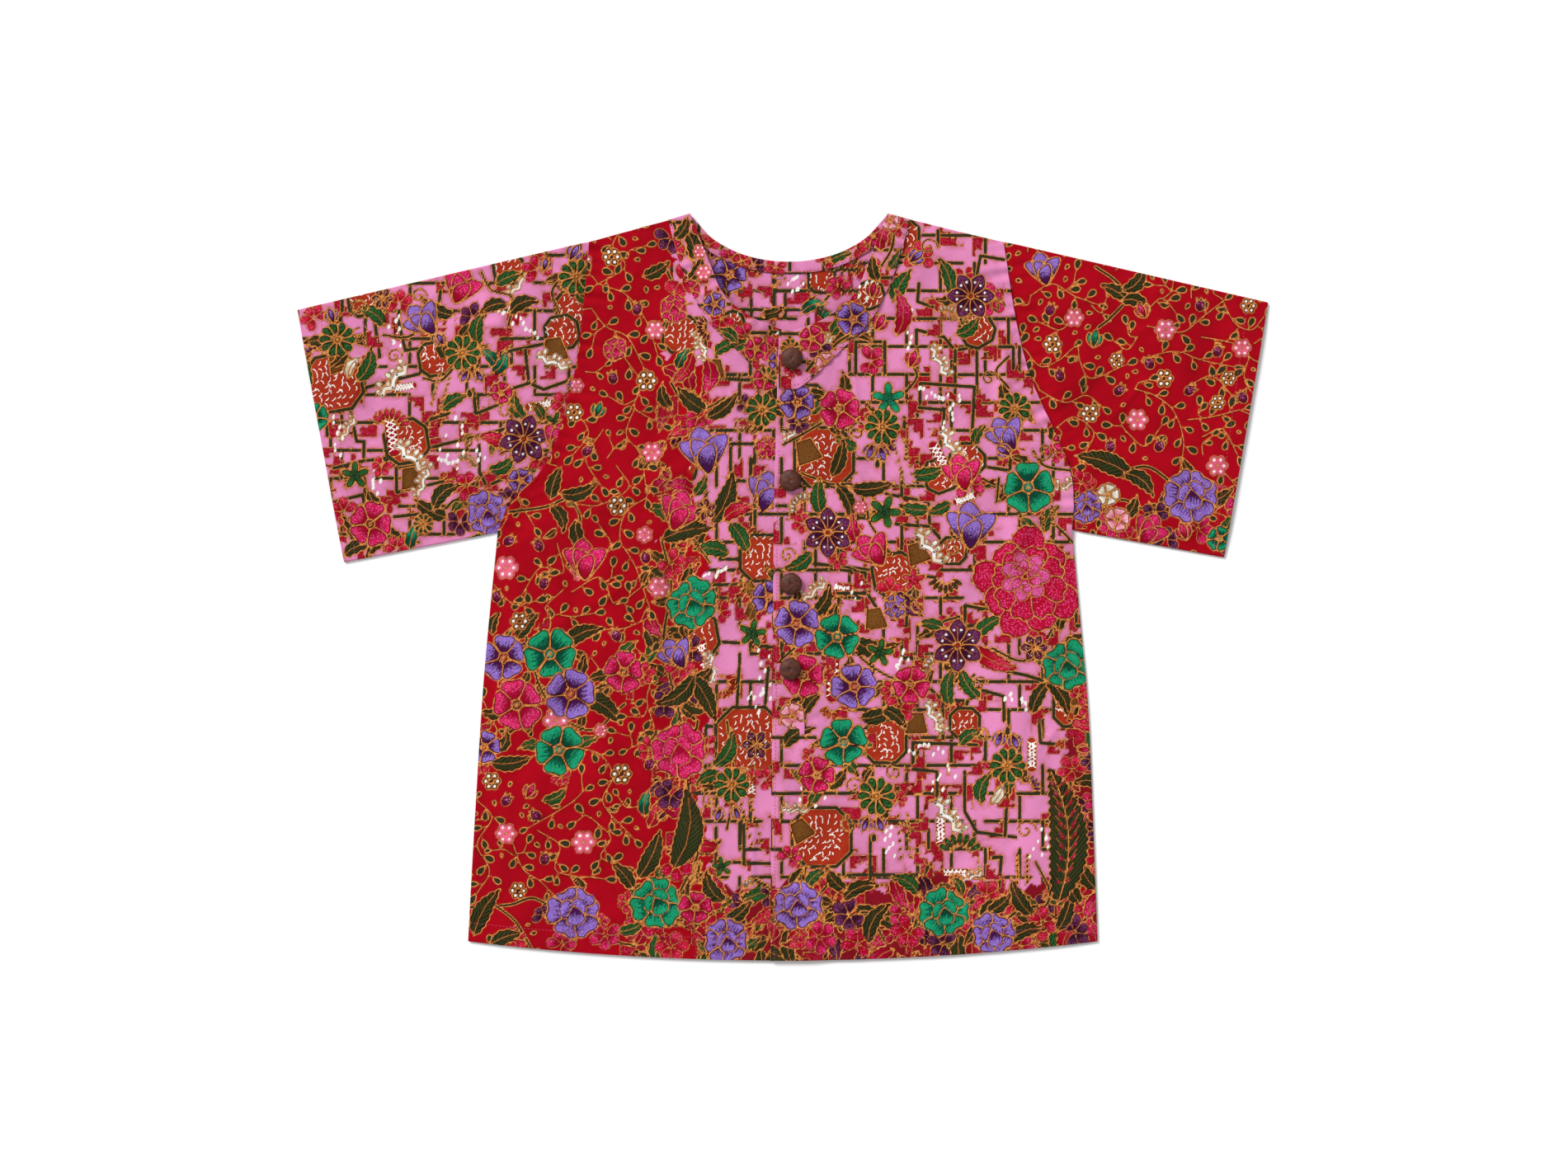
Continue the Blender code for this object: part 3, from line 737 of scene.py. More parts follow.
def back_plan(rows, columns, inside=False):
    """The plan of the back panel. The inside one has most of its points beside the neck, where it shows."""
    side_rows = round(rows * SIDE_ROWS / (SIDE_ROWS + ARMHOLE_ROWS))
    left = outer_edge("left", side_rows, rows - side_rows)
    right = outer_edge("right", side_rows, rows - side_rows)
    neck = whole_neck(BACK_NECK)
    shoulder = round(columns * SHOULDER_SHARE)
    before = line_between(shoulder_tip("left"), neck[0], shoulder + 1)[:-1]
    after = line_between(neck[-1], shoulder_tip("right"), shoulder + 1)[1:]
    top = np.vstack([before, resample(neck, columns - 2 * shoulder + 1), after])
    bottom = hem_line(left[0, 0], right[0, 0], columns + 1)
    plan = coons(left, right, bottom, top)
    if inside:
        wanted = np.concatenate([np.linspace(0, 0.7, rows // 5), np.linspace(0.7, 1, rows)[1:]])
        at = wanted * rows
        below = np.minimum(at.astype(int), rows - 1)
        share = (at - below)[:, None, None]
        plan = plan[below] * (1 - share) + plan[below + 1] * share
    return plan


def make_back():
    """The outer face of the back, flat on the surface, with its edges turned up."""
    plan = back_plan(BACK_ROWS, BACK_COLUMNS)
    points = with_height(plan, np.zeros(plan.shape[:2]))
    upwards = [(out * 0.6, -drop) for out, drop in SIDE_TURN]
    points = turned_all_round(points, upwards, upwards, upwards, upwards)
    return grid_object("back_cloth", points, face_up=False)


def make_back_inside():
    """The inner face of the back, which shows inside the neckline."""
    plan = back_plan(INSIDE_ROWS, INSIDE_COLUMNS, inside=True)
    neck = resample(whole_neck(BACK_NECK), OUTLINE_STEPS)
    calm = smooth_step(distance_to(plan, neck) / SETTLED_EDGE)
    points = with_height(plan, WALL + np.abs(ripples(plan, INSIDE_SEED)) * INSIDE_RIPPLES * calm)
    return grid_object("back_inside_cloth", points)


def binding_surface():
    """The narrow binding along the inside of the back neckline."""
    neck = whole_neck(BACK_NECK)
    left_out = round(CURVE_POINTS * BINDING_END)
    upper = resample(neck[left_out:-left_out], BINDING_COLUMNS + 1)
    lower = offset_line(upper, -BINDING_WIDTH)
    share = np.linspace(0, 1, BINDING_ROWS + 1)[:, None, None]
    plan = lower[None] * (1 - share) + upper[None] * share
    crown = BINDING_CROWN * np.sin(math.pi * share[..., 0])
    gathers = puckers(plan, resample(lower, OUTLINE_STEPS), BINDING_SEED) * BINDING_PUCKERS
    return with_height(plan, LAYER + WALL + crown + gathers)


def make_binding(surface):
    points = turned_all_round(surface, SIDE_TURN, SIDE_TURN, SIDE_TURN, SIDE_TURN)
    return grid_object("back_neck_binding_cloth", points)


# Colours of the print as (red, green, blue) from 0 to 255
COLOURS = {
    "pink": (219, 132, 180), "red": (163, 2, 22), "crimson": (158, 8, 32), "blush": (238, 128, 178),
    "berry": (226, 104, 134), "orange": (164, 50, 24), "brown": (112, 70, 28), "gold": (216, 150, 62),
    "olive": (66, 64, 34), "soot": (38, 36, 22), "teal": (24, 140, 110), "cream": (238, 235, 226),
}
# Petals: (colour at the base, colour at the tip, colour of the specks, how many specks)
TONES = {
    "purple": ((64, 16, 66), (138, 102, 192), (182, 154, 222), 0.5),
    "emerald": ((4, 66, 46), (18, 148, 104), (70, 186, 140), 0.35),
    "magenta": ((150, 2, 38), (206, 30, 92), (238, 116, 168), 0.5),
    "green": ((18, 44, 24), (44, 100, 44), (112, 156, 84), 0.25),
    "plum": ((52, 10, 40), (94, 32, 74), (180, 128, 170), 0.25),
    "bramble": ((84, 10, 44), (118, 28, 72), (216, 132, 168), 0.85),
    "leaf": ((22, 21, 10), (58, 66, 32), (124, 76, 36), 0.3),
    "brown": ((96, 60, 24), (164, 112, 42), (214, 170, 84), 0.5),
    "red": ((160, 6, 34), (200, 30, 62), (232, 120, 150), 0.5),
    "peony": ((160, 2, 28), (178, 8, 48), (226, 84, 142), 0.85),
    "blush": ((176, 16, 60), (206, 74, 138), (232, 140, 190), 0.6),
    "berry": ((214, 112, 140), (234, 168, 184), (248, 214, 214), 0.5),
    "cream": ((206, 196, 170), (240, 238, 230), (250, 250, 246), 0.3),
    "orange": ((176, 40, 20), (206, 78, 34), (236, 178, 128), 0.3),
}
HEARTS = {"purple": "orange", "emerald": "teal", "magenta": "brown"}
VASE_SPECKS = (88, 52, 20)
STRIP_SPECKS = (140, 118, 60)
STRIP_SHARE = 0.35
# Distance that stands for no line near, then half the width of each kind of line
FAR = 40.0
GOLD_HALF = 0.42
THIN_HALF = 0.3
HAIR_HALF = 0.22
BUD_HALF = 0.45
VINE_HALF = 0.36
BAND_HALF = 1.5
STEM_HALF = 1.15
# How far beyond a shape, a band or a dot its lines are worked out
SHAPE_MARGIN = 3
BAND_MARGIN = 4
DOT_MARGIN = 2
# Bands of these colours keep a dark core
DARK_CORES = ("olive", "soot")
# Leaves are striped across by their veins. Waves run along ruffled edges
VEINED = ("leaf", "green")
VEIN_GAP = 4.6
NOTCH_WIDTH = 0.17
RUFFLE_WAVE = 6.5


def linear(colour):
    """A colour from 0 to 255 as linear light."""
    share = np.asarray(colour, float) / 255
    return np.where(share <= 0.04045, share / 12.92, ((share + 0.055) / 1.055) ** 2.4)


def around(x, y, distance, turn):
    """The point at a distance from (x, y) in the direction turn, in degrees."""
    return x + distance * math.cos(math.radians(turn)), y + distance * math.sin(math.radians(turn))


def leaf_away(u, v, length, width, belly, roundness):
    """Distance outside a leaf that runs from the origin along u, and is widest at the share belly."""
    t = np.clip(u / length, 0.001, 0.999)
    bend = math.log(0.5) / math.log(belly)
    swing = np.sin(math.pi * t**bend)
    half = width / 2 * swing**roundness
    rise = np.cos(math.pi * t**bend) * math.pi * bend * t ** (bend - 1) / length
    slope = np.clip(width / 2 * roundness * swing ** (roundness - 1) * rise, -4, 4)
    beyond = np.maximum(np.maximum(-u, u - length), 0)
    beside = (np.abs(v) - half) / np.sqrt(1 + slope**2)
    return np.where(beyond > 0, np.hypot(beyond, np.maximum(np.abs(v) - half, 0)), beside)


def lobed_away(u, v, size, lobes, depth, sharpness):
    """Distance outside a round shape with lobes. Depth is how far the hollows go in, as a share."""
    turn = np.arctan2(v, u)

    def edge(angle):
        return size * (1 - depth + depth * np.abs(np.cos(angle * lobes / 2)) ** sharpness)

    across, step = np.hypot(u, v), 0.02
    slope = (edge(turn + step) - edge(turn - step)) / (2 * step) / np.maximum(across, 1)
    return (across - edge(turn)) / np.sqrt(1 + np.clip(slope, -3, 3) ** 2)


class Print:
    """What is printed at each point of a panel: the colour, the specks and the distance to each line."""

    def __init__(self, plan, ground, wider=0.0):
        flat = plan.reshape(-1, 2)
        self.x, self.y, self.wider = flat[:, 0], flat[:, 1], wider
        self.fill = np.tile(linear(COLOURS[ground]), (len(flat), 1))
        self.speck = np.zeros((len(flat), 4))
        # For each kind of line: the distance to its middle in half widths, with a sign that turns over
        # at the line, and the distance to its edge
        self.lines = {name: (np.full(len(flat), FAR), np.full(len(flat), FAR)) for name in ("wax", "white")}
        self.dark = np.full(len(flat), FAR)
        self.order = np.argsort(self.x)
        self.x_sorted = self.x[self.order]

    def near(self, x, y, reach):
        """The points in a square about (x, y)."""
        first, last = np.searchsorted(self.x_sorted, (x - reach, x + reach))
        column = self.order[first:last]
        return column[np.abs(self.y[column] - y) < reach]

    def local(self, at, x, y, turn):
        """Where points lie along and across the direction turn from (x, y)."""
        across, up = self.x[at] - x, self.y[at] - y
        cosine, sine = math.cos(math.radians(turn)), math.sin(math.radians(turn))
        return across * cosine + up * sine, up * cosine - across * sine

    def square(self, x, y, reach, turn=0.0):
        """The points in a square about (x, y), and where they lie along and across turn."""
        at = self.near(x, y, reach)
        return at, *self.local(at, x, y, turn)

    def mark(self, name, at, signed, half):
        """Keeps the nearest line of a kind at each point."""
        across, beside = self.lines[name]
        half = half + self.wider
        edge = np.abs(signed) - half
        nearer = edge < beside[at]
        across[at[nearer]] = signed[nearer] / half
        beside[at[nearer]] = edge[nearer]

    def area(self, at, away, colour, specks=0.0, many=0.0, line=GOLD_HALF):
        """Prints a shape over what is there. Colour and many may be one value or one for each point."""
        inside = away < 0
        where = at[inside]
        self.fill[where] = colour[inside] if colour.ndim == 2 else colour
        self.speck[where, :3] = specks
        self.speck[where, 3] = many[inside] if np.ndim(many) else many
        self.dark[where] = FAR
        for across, beside in self.lines.values():
            across[where] = beside[where] = FAR
        if line:
            self.mark("wax", at, away, line)

    def petal(self, x, y, length, width, turn, tone, belly=0.62, roundness=0.5, line=GOLD_HALF, bend=0.0,
              notch=0.0, ruffle=0.0):
        """A petal or leaf from its base at (x, y), dark at the base with a ragged change to the tip.

        Bend is how far the middle of the petal lies beside the straight line from base to tip, and notch is
        how deep its tip is cut in, both as shares of the length. Ruffle is the height of the edge's waves.
        """
        at, u, v = self.square(x, y, length + SHAPE_MARGIN, turn)
        v = v - 4 * bend * u * (1 - u / length)
        base, tip, specks, many = TONES[tone]
        away = leaf_away(u, v, length, width, belly, roundness)
        if notch:
            cut_in = u - length * (1 - notch * np.exp(-((v / (NOTCH_WIDTH * width)) ** 2)))
            away = np.maximum(away, 0.8 * cut_in)
        away = away + ruffle * np.sin(2 * math.pi * u / RUFFLE_WAVE)
        if tone in VEINED:
            mix = 0.5 + 0.5 * np.sin((u - 1.3 * np.abs(v)) * 2 * math.pi / VEIN_GAP)
        else:
            share = u / length + 0.14 * np.sin(v * 2.6 + x) + 0.07 * np.sin(v * 5.9 + y)
            mix = smooth_step((share - 0.45) / 0.25) * (1 - 0.6 * smooth_step(1 + (away + 0.4) / 1.2))
        colour = linear(base) * (1 - mix[:, None]) + linear(tip) * mix[:, None]
        self.area(at, away, colour, linear(specks), many * smooth_step((u / length - 0.3) / 0.3), line)

    def disc(self, x, y, size, colour, specks=0.0, many=0.0, line=GOLD_HALF):
        at, u, v = self.square(x, y, size + SHAPE_MARGIN)
        self.area(at, np.hypot(u, v) - size, linear(COLOURS[colour]), specks, many, line)

    def beside(self, points, reach):
        """For each piece of a line: the points near it, and how far they are to either side of it."""
        points = np.asarray(points, float)
        for start, end in zip(points[:-1], points[1:]):
            run = end - start
            length = max(np.hypot(*run), 1e-6)
            at = self.near(*((start + end) / 2), length / 2 + reach)
            spot = np.stack([self.x[at], self.y[at]], axis=1) - start
            share = np.clip(spot @ run / length**2, 0, 1)
            away = np.hypot(*(spot - share[:, None] * run).T)
            side = np.sign(run[0] * spot[:, 1] - run[1] * spot[:, 0])
            yield at, away * np.where(side == 0, 1, side)

    def stroke(self, points, half, name="wax"):
        """A gold or white line with no colour under it."""
        for at, signed in self.beside(points, half + SHAPE_MARGIN):
            self.mark(name, at, signed, half)

    def band(self, points, half, colour, line=THIN_HALF, specks=0.0, many=0.0):
        """A filled stroke with gold edges, such as a stem or a strip of the lattice."""
        away = np.full(len(self.x), FAR)
        for at, signed in self.beside(points, half + BAND_MARGIN):
            away[at] = np.minimum(away[at], np.abs(signed) - half - self.wider / 2)
        at = np.flatnonzero(away < BAND_MARGIN)
        self.area(at, away[at], linear(COLOURS[colour]), specks, many, line)
        if colour in DARK_CORES:
            self.darken(at, away[at] + line)

    def darken(self, at, away):
        """Keeps the nearest dark core at each point."""
        self.dark[at] = np.minimum(self.dark[at], away)

    def dot(self, x, y, size, name="white"):
        at, u, v = self.square(x, y, size + DOT_MARGIN)
        if name == "dark":
            self.darken(at, np.hypot(u, v) - size)
        else:
            self.mark(name, at, np.hypot(u, v), size)


def seeded(x, y):
    """Random draws that always are the same for a motif at this place."""
    return np.random.default_rng(int(abs(x) * 31 + abs(y) * 17 + (x < 0) * 5 + (y < 0) * 3))


def ring(cloth, place, size, ways, tone, out, far, broad, draw=None, sway=0, **shape):
    """Petals in the given directions. Out, far and broad are their base, length and width as shares of size.

    With a draw, far is the span that each length is drawn from. Sway is how far a petal may turn.
    """
    for way in ways:
        way = way + draw.uniform(-sway, sway) if sway else way
        length = size * (draw.uniform(*far) if draw else far)
        cloth.petal(*around(*place, out * size, way), length, broad * size, way, tone, **shape)


def blossom(cloth, x, y, size, turn, tone):
    """Five notched petals round a small curled heart."""
    shape = {"belly": 0.74, "roundness": 0.36, "bend": 0.05, "notch": 0.03}
    ways = turn + np.arange(0, 360, 72)
    ring(cloth, (x, y), size, ways, tone, 0.1, (0.88, 1.02), 1.02, seeded(x, y), 5, **shape)
    cloth.disc(x, y, 0.22 * size, HEARTS.get(tone, "brown"), linear(TONES[tone][2]), 0.4)
    cloth.dot(x, y, 0.07 * size, "wax")


def daisy(cloth, x, y, size, turn, tone):
    """Narrow petals close together round a small heart."""
    ways = turn + np.arange(0, 360, 36)
    ring(cloth, (x, y), size, ways, tone, 0.16, 0.9, 0.52, belly=0.66, roundness=0.45, line=0.5)
    cloth.disc(x, y, 0.17 * size, "gold")


def lily(cloth, x, y, size, turn, tone):
    """Six pointed petals with a gold rib and white dots."""
    ways = turn + np.arange(0, 360, 60)
    ring(cloth, (x, y), size, ways, tone, 0.06, 1.0, 0.66, belly=0.55, roundness=0.75)
    for way in ways:
        cloth.stroke([around(x, y, 0.1 * size, way), around(x, y, 0.72 * size, way)], HAIR_HALF)
        for side in (-13, 13):
            cloth.dot(*around(x, y, 0.62 * size, way + side), 0.055 * size)
    cloth.disc(x, y, 0.12 * size, "orange")


def rose(cloth, x, y, size, turn, tone):
    """Six broad notched petals with dark bases, and a cup of smaller ones that lap over each other."""
    draw, ways = seeded(x, y), turn + np.arange(0, 360, 60)
    shape = {"belly": 0.72, "roundness": 0.38, "bend": 0.06, "notch": 0.08}
    ring(cloth, (x, y), size, ways, tone, 0.1, (0.8, 1.06), 1.02, draw, 9, **shape)
    shape = {"belly": 0.68, "roundness": 0.4, "line": THIN_HALF, "bend": 0.12}
    ring(cloth, (x, y), size, ways[::2] + 30, tone, -0.2, (0.66, 0.78), 0.72, draw, **shape)


def peony(cloth, x, y, size, turn, tone):
    """A large open flower: pointed outer petals, then rounder ones heaped in the middle."""
    for k in range(9):
        far = size * (1.08 + 0.12 * math.cos(3 * k))
        cloth.petal(x, y, far, 0.68 * size, turn + 40 * k, "peony", 0.68, 0.56, bend=0.06, notch=0.04)
    shape = {"belly": 0.7, "roundness": 0.5, "bend": 0.08, "notch": 0.08}
    ring(cloth, (x, y), size, turn + np.arange(20, 380, 45), "peony", 0, 0.78, 0.5, **shape)
    heart = around(x, y, 0.16 * size, 120)
    for count, far, broad in ((7, 0.5, 0.3), (6, 0.34, 0.22), (3, 0.18, 0.16)):
        ways = turn + far * 90 + np.arange(count) * 360 / count
        ring(cloth, heart, size, ways, "blush", 0, far, broad, belly=0.64, roundness=0.4, line=THIN_HALF)
    cloth.disc(*heart, 0.05 * size, "crimson")


CUP_FROM = 14.0
SLIM_PETALS = [
    # turn from the flower's own way, length, width, bend
    (26, 1.5, 0.72, 0.0), (-26, 1.5, 0.72, 0.0), (0, 1.8, 0.72, 0.0),
]
CUP_PETALS = [
    (4, 1.9, 1.1, 0.0), (34, 1.7, 0.86, -0.14), (-34, 1.7, 0.86, 0.14), (16, 1.5, 0.8, -0.1),
    (-15, 1.2, 0.74, 0.12),
]


def tulip(cloth, x, y, size, turn, tone):
    """Petals that spring from one foot, as a full cup where it is large. Turn is the way the tips point."""
    foot = around(x, y, -0.9 * size, turn)
    petals, roundness = (CUP_PETALS, 0.55) if size > CUP_FROM else (SLIM_PETALS, 0.8)
    for way, far, broad, bend in petals:
        cloth.petal(*foot, far * size, broad * size, turn + way, tone, 0.55, roundness, bend=bend)


RUFFLED_FROM = 10.0
NARROW_FROM = 16.0
FROND_BEND = -0.11
# Places along a rib, as shares of the leaf's length
LEAF_RIB = [0.0, 0.3, 0.6, 0.88]
FROND_RIB = [0.02, 0.12, 0.2, 0.28, 0.36, 0.44, 0.52, 0.6, 0.68, 0.76, 0.84, 0.96]


def rib_points(base, size, turn, bend, shares):
    """Places along the bent middle of a leaf that is twice size long."""
    straight = [around(*base, 2 * size * t, turn) for t in shares]
    return [around(*place, 8 * size * bend * t * (1 - t), turn + 90) for place, t in zip(straight, shares)]


def leaf(cloth, x, y, size, turn, tone):
    """A pointed curved leaf about (x, y) with a gold rib. The larger ones have wavy edges."""
    draw = seeded(x, y)
    base, bend = around(x, y, -size, turn), draw.choice([-1, 1]) * draw.uniform(0.06, 0.19)
    ruffle, broad = 0.5 if size > RUFFLED_FROM else 0.0, 0.7 if size > NARROW_FROM else 0.86
    cloth.petal(*base, 2 * size, broad * size, turn, tone, 0.4, 0.8, bend=bend, ruffle=ruffle)
    cloth.stroke(rib_points(base, size, turn, bend, LEAF_RIB), HAIR_HALF)


def star_leaf(cloth, x, y, size, turn, tone):
    """A leaf with five points."""
    at, u, v = cloth.square(x, y, size + SHAPE_MARGIN, turn)
    base, tip, specks, many = TONES[tone]
    mix = smooth_step(np.hypot(u, v) / size)[:, None]
    colour = linear(base) * (1 - mix) + linear(tip) * mix
    cloth.area(at, lobed_away(u, v, size, 5, 0.58, 1.4), colour, linear(specks), many)


def feather(cloth, x, y, size, turn, tone):
    """A long leaf of narrow barbs on both sides of a rib."""
    for k in range(11):
        share = -0.9 + 0.16 * k
        long = 0.42 * math.sqrt(max(1 - share * share, 0.1))
        ways = turn + np.array([-42, 42])
        shape = {"belly": 0.6, "roundness": 0.5, "line": THIN_HALF}
        ring(cloth, around(x, y, share * size, turn), size, ways, tone, 0, long, 0.15, **shape)
    cloth.stroke([around(x, y, -size, turn), around(x, y, size, turn)], THIN_HALF)


def frond(cloth, x, y, size, turn, tone):
    """A long dark leaf with wavy edges, a gold rib and side veins."""
    base = around(x, y, -size, turn)
    cloth.petal(*base, 2 * size, 0.58 * size, turn, tone, 0.42, 0.7, bend=FROND_BEND, ruffle=1.0)
    rib = rib_points(base, size, turn, FROND_BEND, FROND_RIB)
    cloth.stroke(rib, GOLD_HALF)
    for share, root in zip(FROND_RIB[1:-1], rib[1:-1]):
        reach = 0.3 * size * math.sin(math.pi * share) ** 0.7
        for side in (-1, 1):
            cloth.stroke([root, around(*root, reach, turn + side * 36)], HAIR_HALF)
            streak = around(*root, 3.0, turn + side * 56)
            cloth.petal(*streak, 0.5 * reach, 1.8, turn + side * 36, "red", line=0)


def bud(cloth, x, y, size, turn, tone):
    """A small dark drop with a gold edge."""
    at = cloth.near(x, y, size + SHAPE_MARGIN)
    u, v = cloth.local(at, *around(x, y, -size / 2, turn), turn)
    away = leaf_away(u, v, size, 0.6 * size, 0.62, 0.5)
    cloth.area(at, away, linear(COLOURS["soot"]), line=BUD_HALF)
    cloth.darken(at, away + BUD_HALF)


def dot_flower(cloth, x, y, size, turn, tone):
    """A ring of small brown rounds with gold edges, each with a cream dot."""
    for k in range(6):
        place = around(x, y, 0.62 * size, turn + 60 * k)
        cloth.disc(*place, 0.36 * size, "brown", line=THIN_HALF)
        cloth.dot(*place, 0.16 * size)
    cloth.disc(x, y, 0.2 * size, "soot", line=HAIR_HALF)


def berry(cloth, x, y, size, turn, tone):
    """A pink flower of small round petals, each with a pale dot."""
    at, u, v = cloth.square(x, y, size + SHAPE_MARGIN, turn)
    cloth.area(at, lobed_away(u, v, size, 6, 0.3, 0.7), linear(COLOURS["berry"]), line=HAIR_HALF)
    for k in range(6):
        cloth.dot(*around(x, y, 0.6 * size, turn + 60 * k), 0.13 * size)
    cloth.dot(x, y, 0.14 * size, "wax")


def thistle(cloth, x, y, size, turn, tone):
    """A small dark head with three spikes."""
    ways = turn + np.array([-34, 0, 34])
    ring(cloth, (x, y), size, ways, "brown", 0, 1.25, 0.5, belly=0.4, roundness=0.8, line=THIN_HALF)
    foot = around(x, y, -0.8 * size, turn)
    cloth.petal(*foot, 1.6 * size, 1.35 * size, turn, "bramble", 0.5, 0.45, THIN_HALF)


def ragged(cloth, x, y, size, turn, tone):
    """A crimson piece as it fills a corner of the lattice: two straight sides, and a torn one."""
    at, u, v = cloth.square(x, y, 1.6 * size, 90 * seeded(x, y).integers(4))
    along = (u - v) / size
    torn = 0.7 * (u + v) - size * (0.35 + 0.17 * np.sin(6.0 * along + x) + 0.06 * np.sin(13.0 * along + y))
    away = np.maximum(np.maximum(-0.6 * size - u, -0.6 * size - v), 0.7 * torn)
    cloth.area(at, away, linear(COLOURS["crimson"]), linear(COLOURS["blush"]), 0.16, line=HAIR_HALF)


PATCH_GAP = 5.0
PATCH_CORNERS = [
    (1, 0.5), (0.5, 1), (-0.5, 1), (-1, 0.5), (-1, -0.5), (-0.5, -1), (0.5, -1), (1, -0.5), (1, 0.5),
]


def patch(cloth, x, y, size, turn, tone):
    """An orange field with its corners cut and short curved cream strokes."""
    at, u, v = cloth.square(x, y, 1.5 * size, turn)
    away = np.maximum(np.maximum(np.abs(u), np.abs(v)) - size, (np.abs(u) + np.abs(v) - 1.5 * size) * 0.7)
    cloth.area(at, away, linear(COLOURS["orange"]), linear(COLOURS["crimson"]), 0.5)
    draw = seeded(x, y)
    rim = [around(*around(x, y, u * size, turn), v * size, turn + 90) for u, v in PATCH_CORNERS]
    lattice(cloth, rim)
    steps = np.arange(-0.8 * size, 0.8 * size, PATCH_GAP)
    for along, beside in ((a, b) for a in steps for b in steps if abs(a) + abs(b) < 1.2 * size):
        place = around(*around(x, y, along, turn), beside, turn + 90)
        place = (place[0] + draw.uniform(-1, 1), place[1] + draw.uniform(-1, 1))
        way, bend = draw.choice([20, 60, 110]) + draw.uniform(-15, 15), draw.uniform(25, 60)
        middle = around(*place, 1.7, way)
        cloth.stroke([place, middle, around(*middle, 1.5, way + bend)], 0.36, "white")


def vase(cloth, x, y, size, turn, tone):
    """A gold brown field with fine specks."""
    at, u, v = cloth.square(x, y, 1.5 * size, turn)
    away = np.maximum(np.abs(u) - size * (0.72 - 0.22 * v / size), np.abs(v) - 0.8 * size)
    cloth.area(at, away, linear(COLOURS["brown"]), linear(VASE_SPECKS), 0.9)


def lace(cloth, x, y, size, turn, tone):
    """A bent white ribbon with dark dots, and teeth along one edge."""
    ribbon = [around(x, y, (k / 3 - 1) * size, turn) for k in range(7)]
    ribbon = [around(*place, 0.17 * size * math.sin(2.2 * k), turn + 90) for k, place in enumerate(ribbon)]
    for k, place in enumerate(ribbon):
        cloth.petal(*place, (0.46 + 0.12 * (k % 2)) * size, 0.3 * size, turn + 90, "cream", line=HAIR_HALF)
        cloth.dot(*around(*place, 0.22 * size, turn + 90), 0.05 * size, "dark")
    cloth.band(ribbon, 0.13 * size, "cream", HAIR_HALF)
    for place in ribbon[::2]:
        cloth.dot(*place, 0.07 * size, "dark")


def trellis(cloth, x, y, size, turn, tone):
    """White crossed lines on a dark strip."""
    ends = [around(x, y, -size, turn), around(x, y, size, turn)]
    cloth.band(ends, 0.36 * size, "orange" if tone == "orange" else "crimson")
    spots = [around(x, y, (k / 3 - 1) * size, turn) for k in range(7)]
    for side in (-1, 1):
        rows = [around(*spot, side * (k % 2 * 2 - 1) * 0.3 * size, turn + 90) for k, spot in enumerate(spots)]
        cloth.stroke(rows, GOLD_HALF, "white")


def fan(cloth, x, y, size, turn, tone):
    """A fan of pale drops side by side."""
    ways = turn + np.arange(-60, 80, 20)
    ring(cloth, (x, y), size, ways, tone, 0.45, 0.6, 0.26, belly=0.6, roundness=0.5, line=THIN_HALF)
    cloth.stroke([around(x, y, 0.42 * size, turn - 70 + 20 * k) for k in range(8)], THIN_HALF)


def curl(cloth, x, y, size, turn, tone):
    """A tendril that winds into a spiral."""
    points = [around(x, y, size * (1 - k / 15), turn + 34 * k) for k in range(14)]
    cloth.band(points, 0.7, "soot", HAIR_HALF)


def sprig(cloth, x, y, size, turn, tone):
    """Small drops in pairs along a line."""
    for k in range(6):
        spot = around(x, y, (k / 2.5 - 1) * size, turn)
        for side in (-1, 1):
            place = around(*spot, 2.6, turn + 90 * side)
            at = cloth.near(*place, 7)
            u, v = cloth.local(at, *around(*place, -1.8, turn), turn + 35 * side)
            cloth.area(at, leaf_away(u, v, 4.6, 2.2, 0.6, 0.5), linear(TONES[tone][0]), line=THIN_HALF)


def dots(cloth, x, y, size, turn, tone):
    """White ovals strewn along a strip."""
    draw = seeded(x, y)
    for k in range(8):
        place = around(*around(x, y, (k / 3.5 - 1) * size, turn), draw.normal(0, 4.0), turn + 90)
        end = around(*place, draw.uniform(0.4, 1.5), 75)
        cloth.stroke([place, end], draw.uniform(0.9, 1.4), "white")


def bunch(cloth, x, y, size, turn, tone):
    """Crimson and pink petals close together, as between larger flowers."""
    draw = seeded(x, y)
    ways = draw.uniform(0, 360) + np.arange(0, 300, 60)
    picked = draw.choice(["magenta", "red", "red", "plum", "peony"])
    ring(cloth, (x, y), size, ways, picked, 0.1, (0.8, 1.05), 0.7, draw, line=HAIR_HALF)


def vine(cloth, knots, gap=8.2, stalk=3.2, bud_size=8.6):
    """A gold tendril with a small bud on a stalk to either side in turn, and one at its tip."""
    line = spline(knots, 60)
    cloth.stroke(line, VINE_HALF)
    length = np.linalg.norm(np.diff(line, axis=0), axis=1).sum()
    places = resample(line, max(int(length / gap), 2) + 1)
    ways = np.degrees(np.arctan2(*np.gradient(places, axis=0).T[::-1]))
    draw = seeded(*knots[0])
    last = len(places) - 2
    for k, (place, way) in enumerate(zip(places[1:], ways[1:])):
        side = 0 if k == last else k % 2 * 2 - 1
        out = way + side * draw.uniform(38, 66)
        far = stalk * draw.uniform(0.8, 1.5)
        cloth.stroke([place, around(*place, far, out)], HAIR_HALF)
        bud(cloth, *around(*place, far + 0.45 * bud_size, out), bud_size * draw.uniform(0.85, 1.1), out, "")


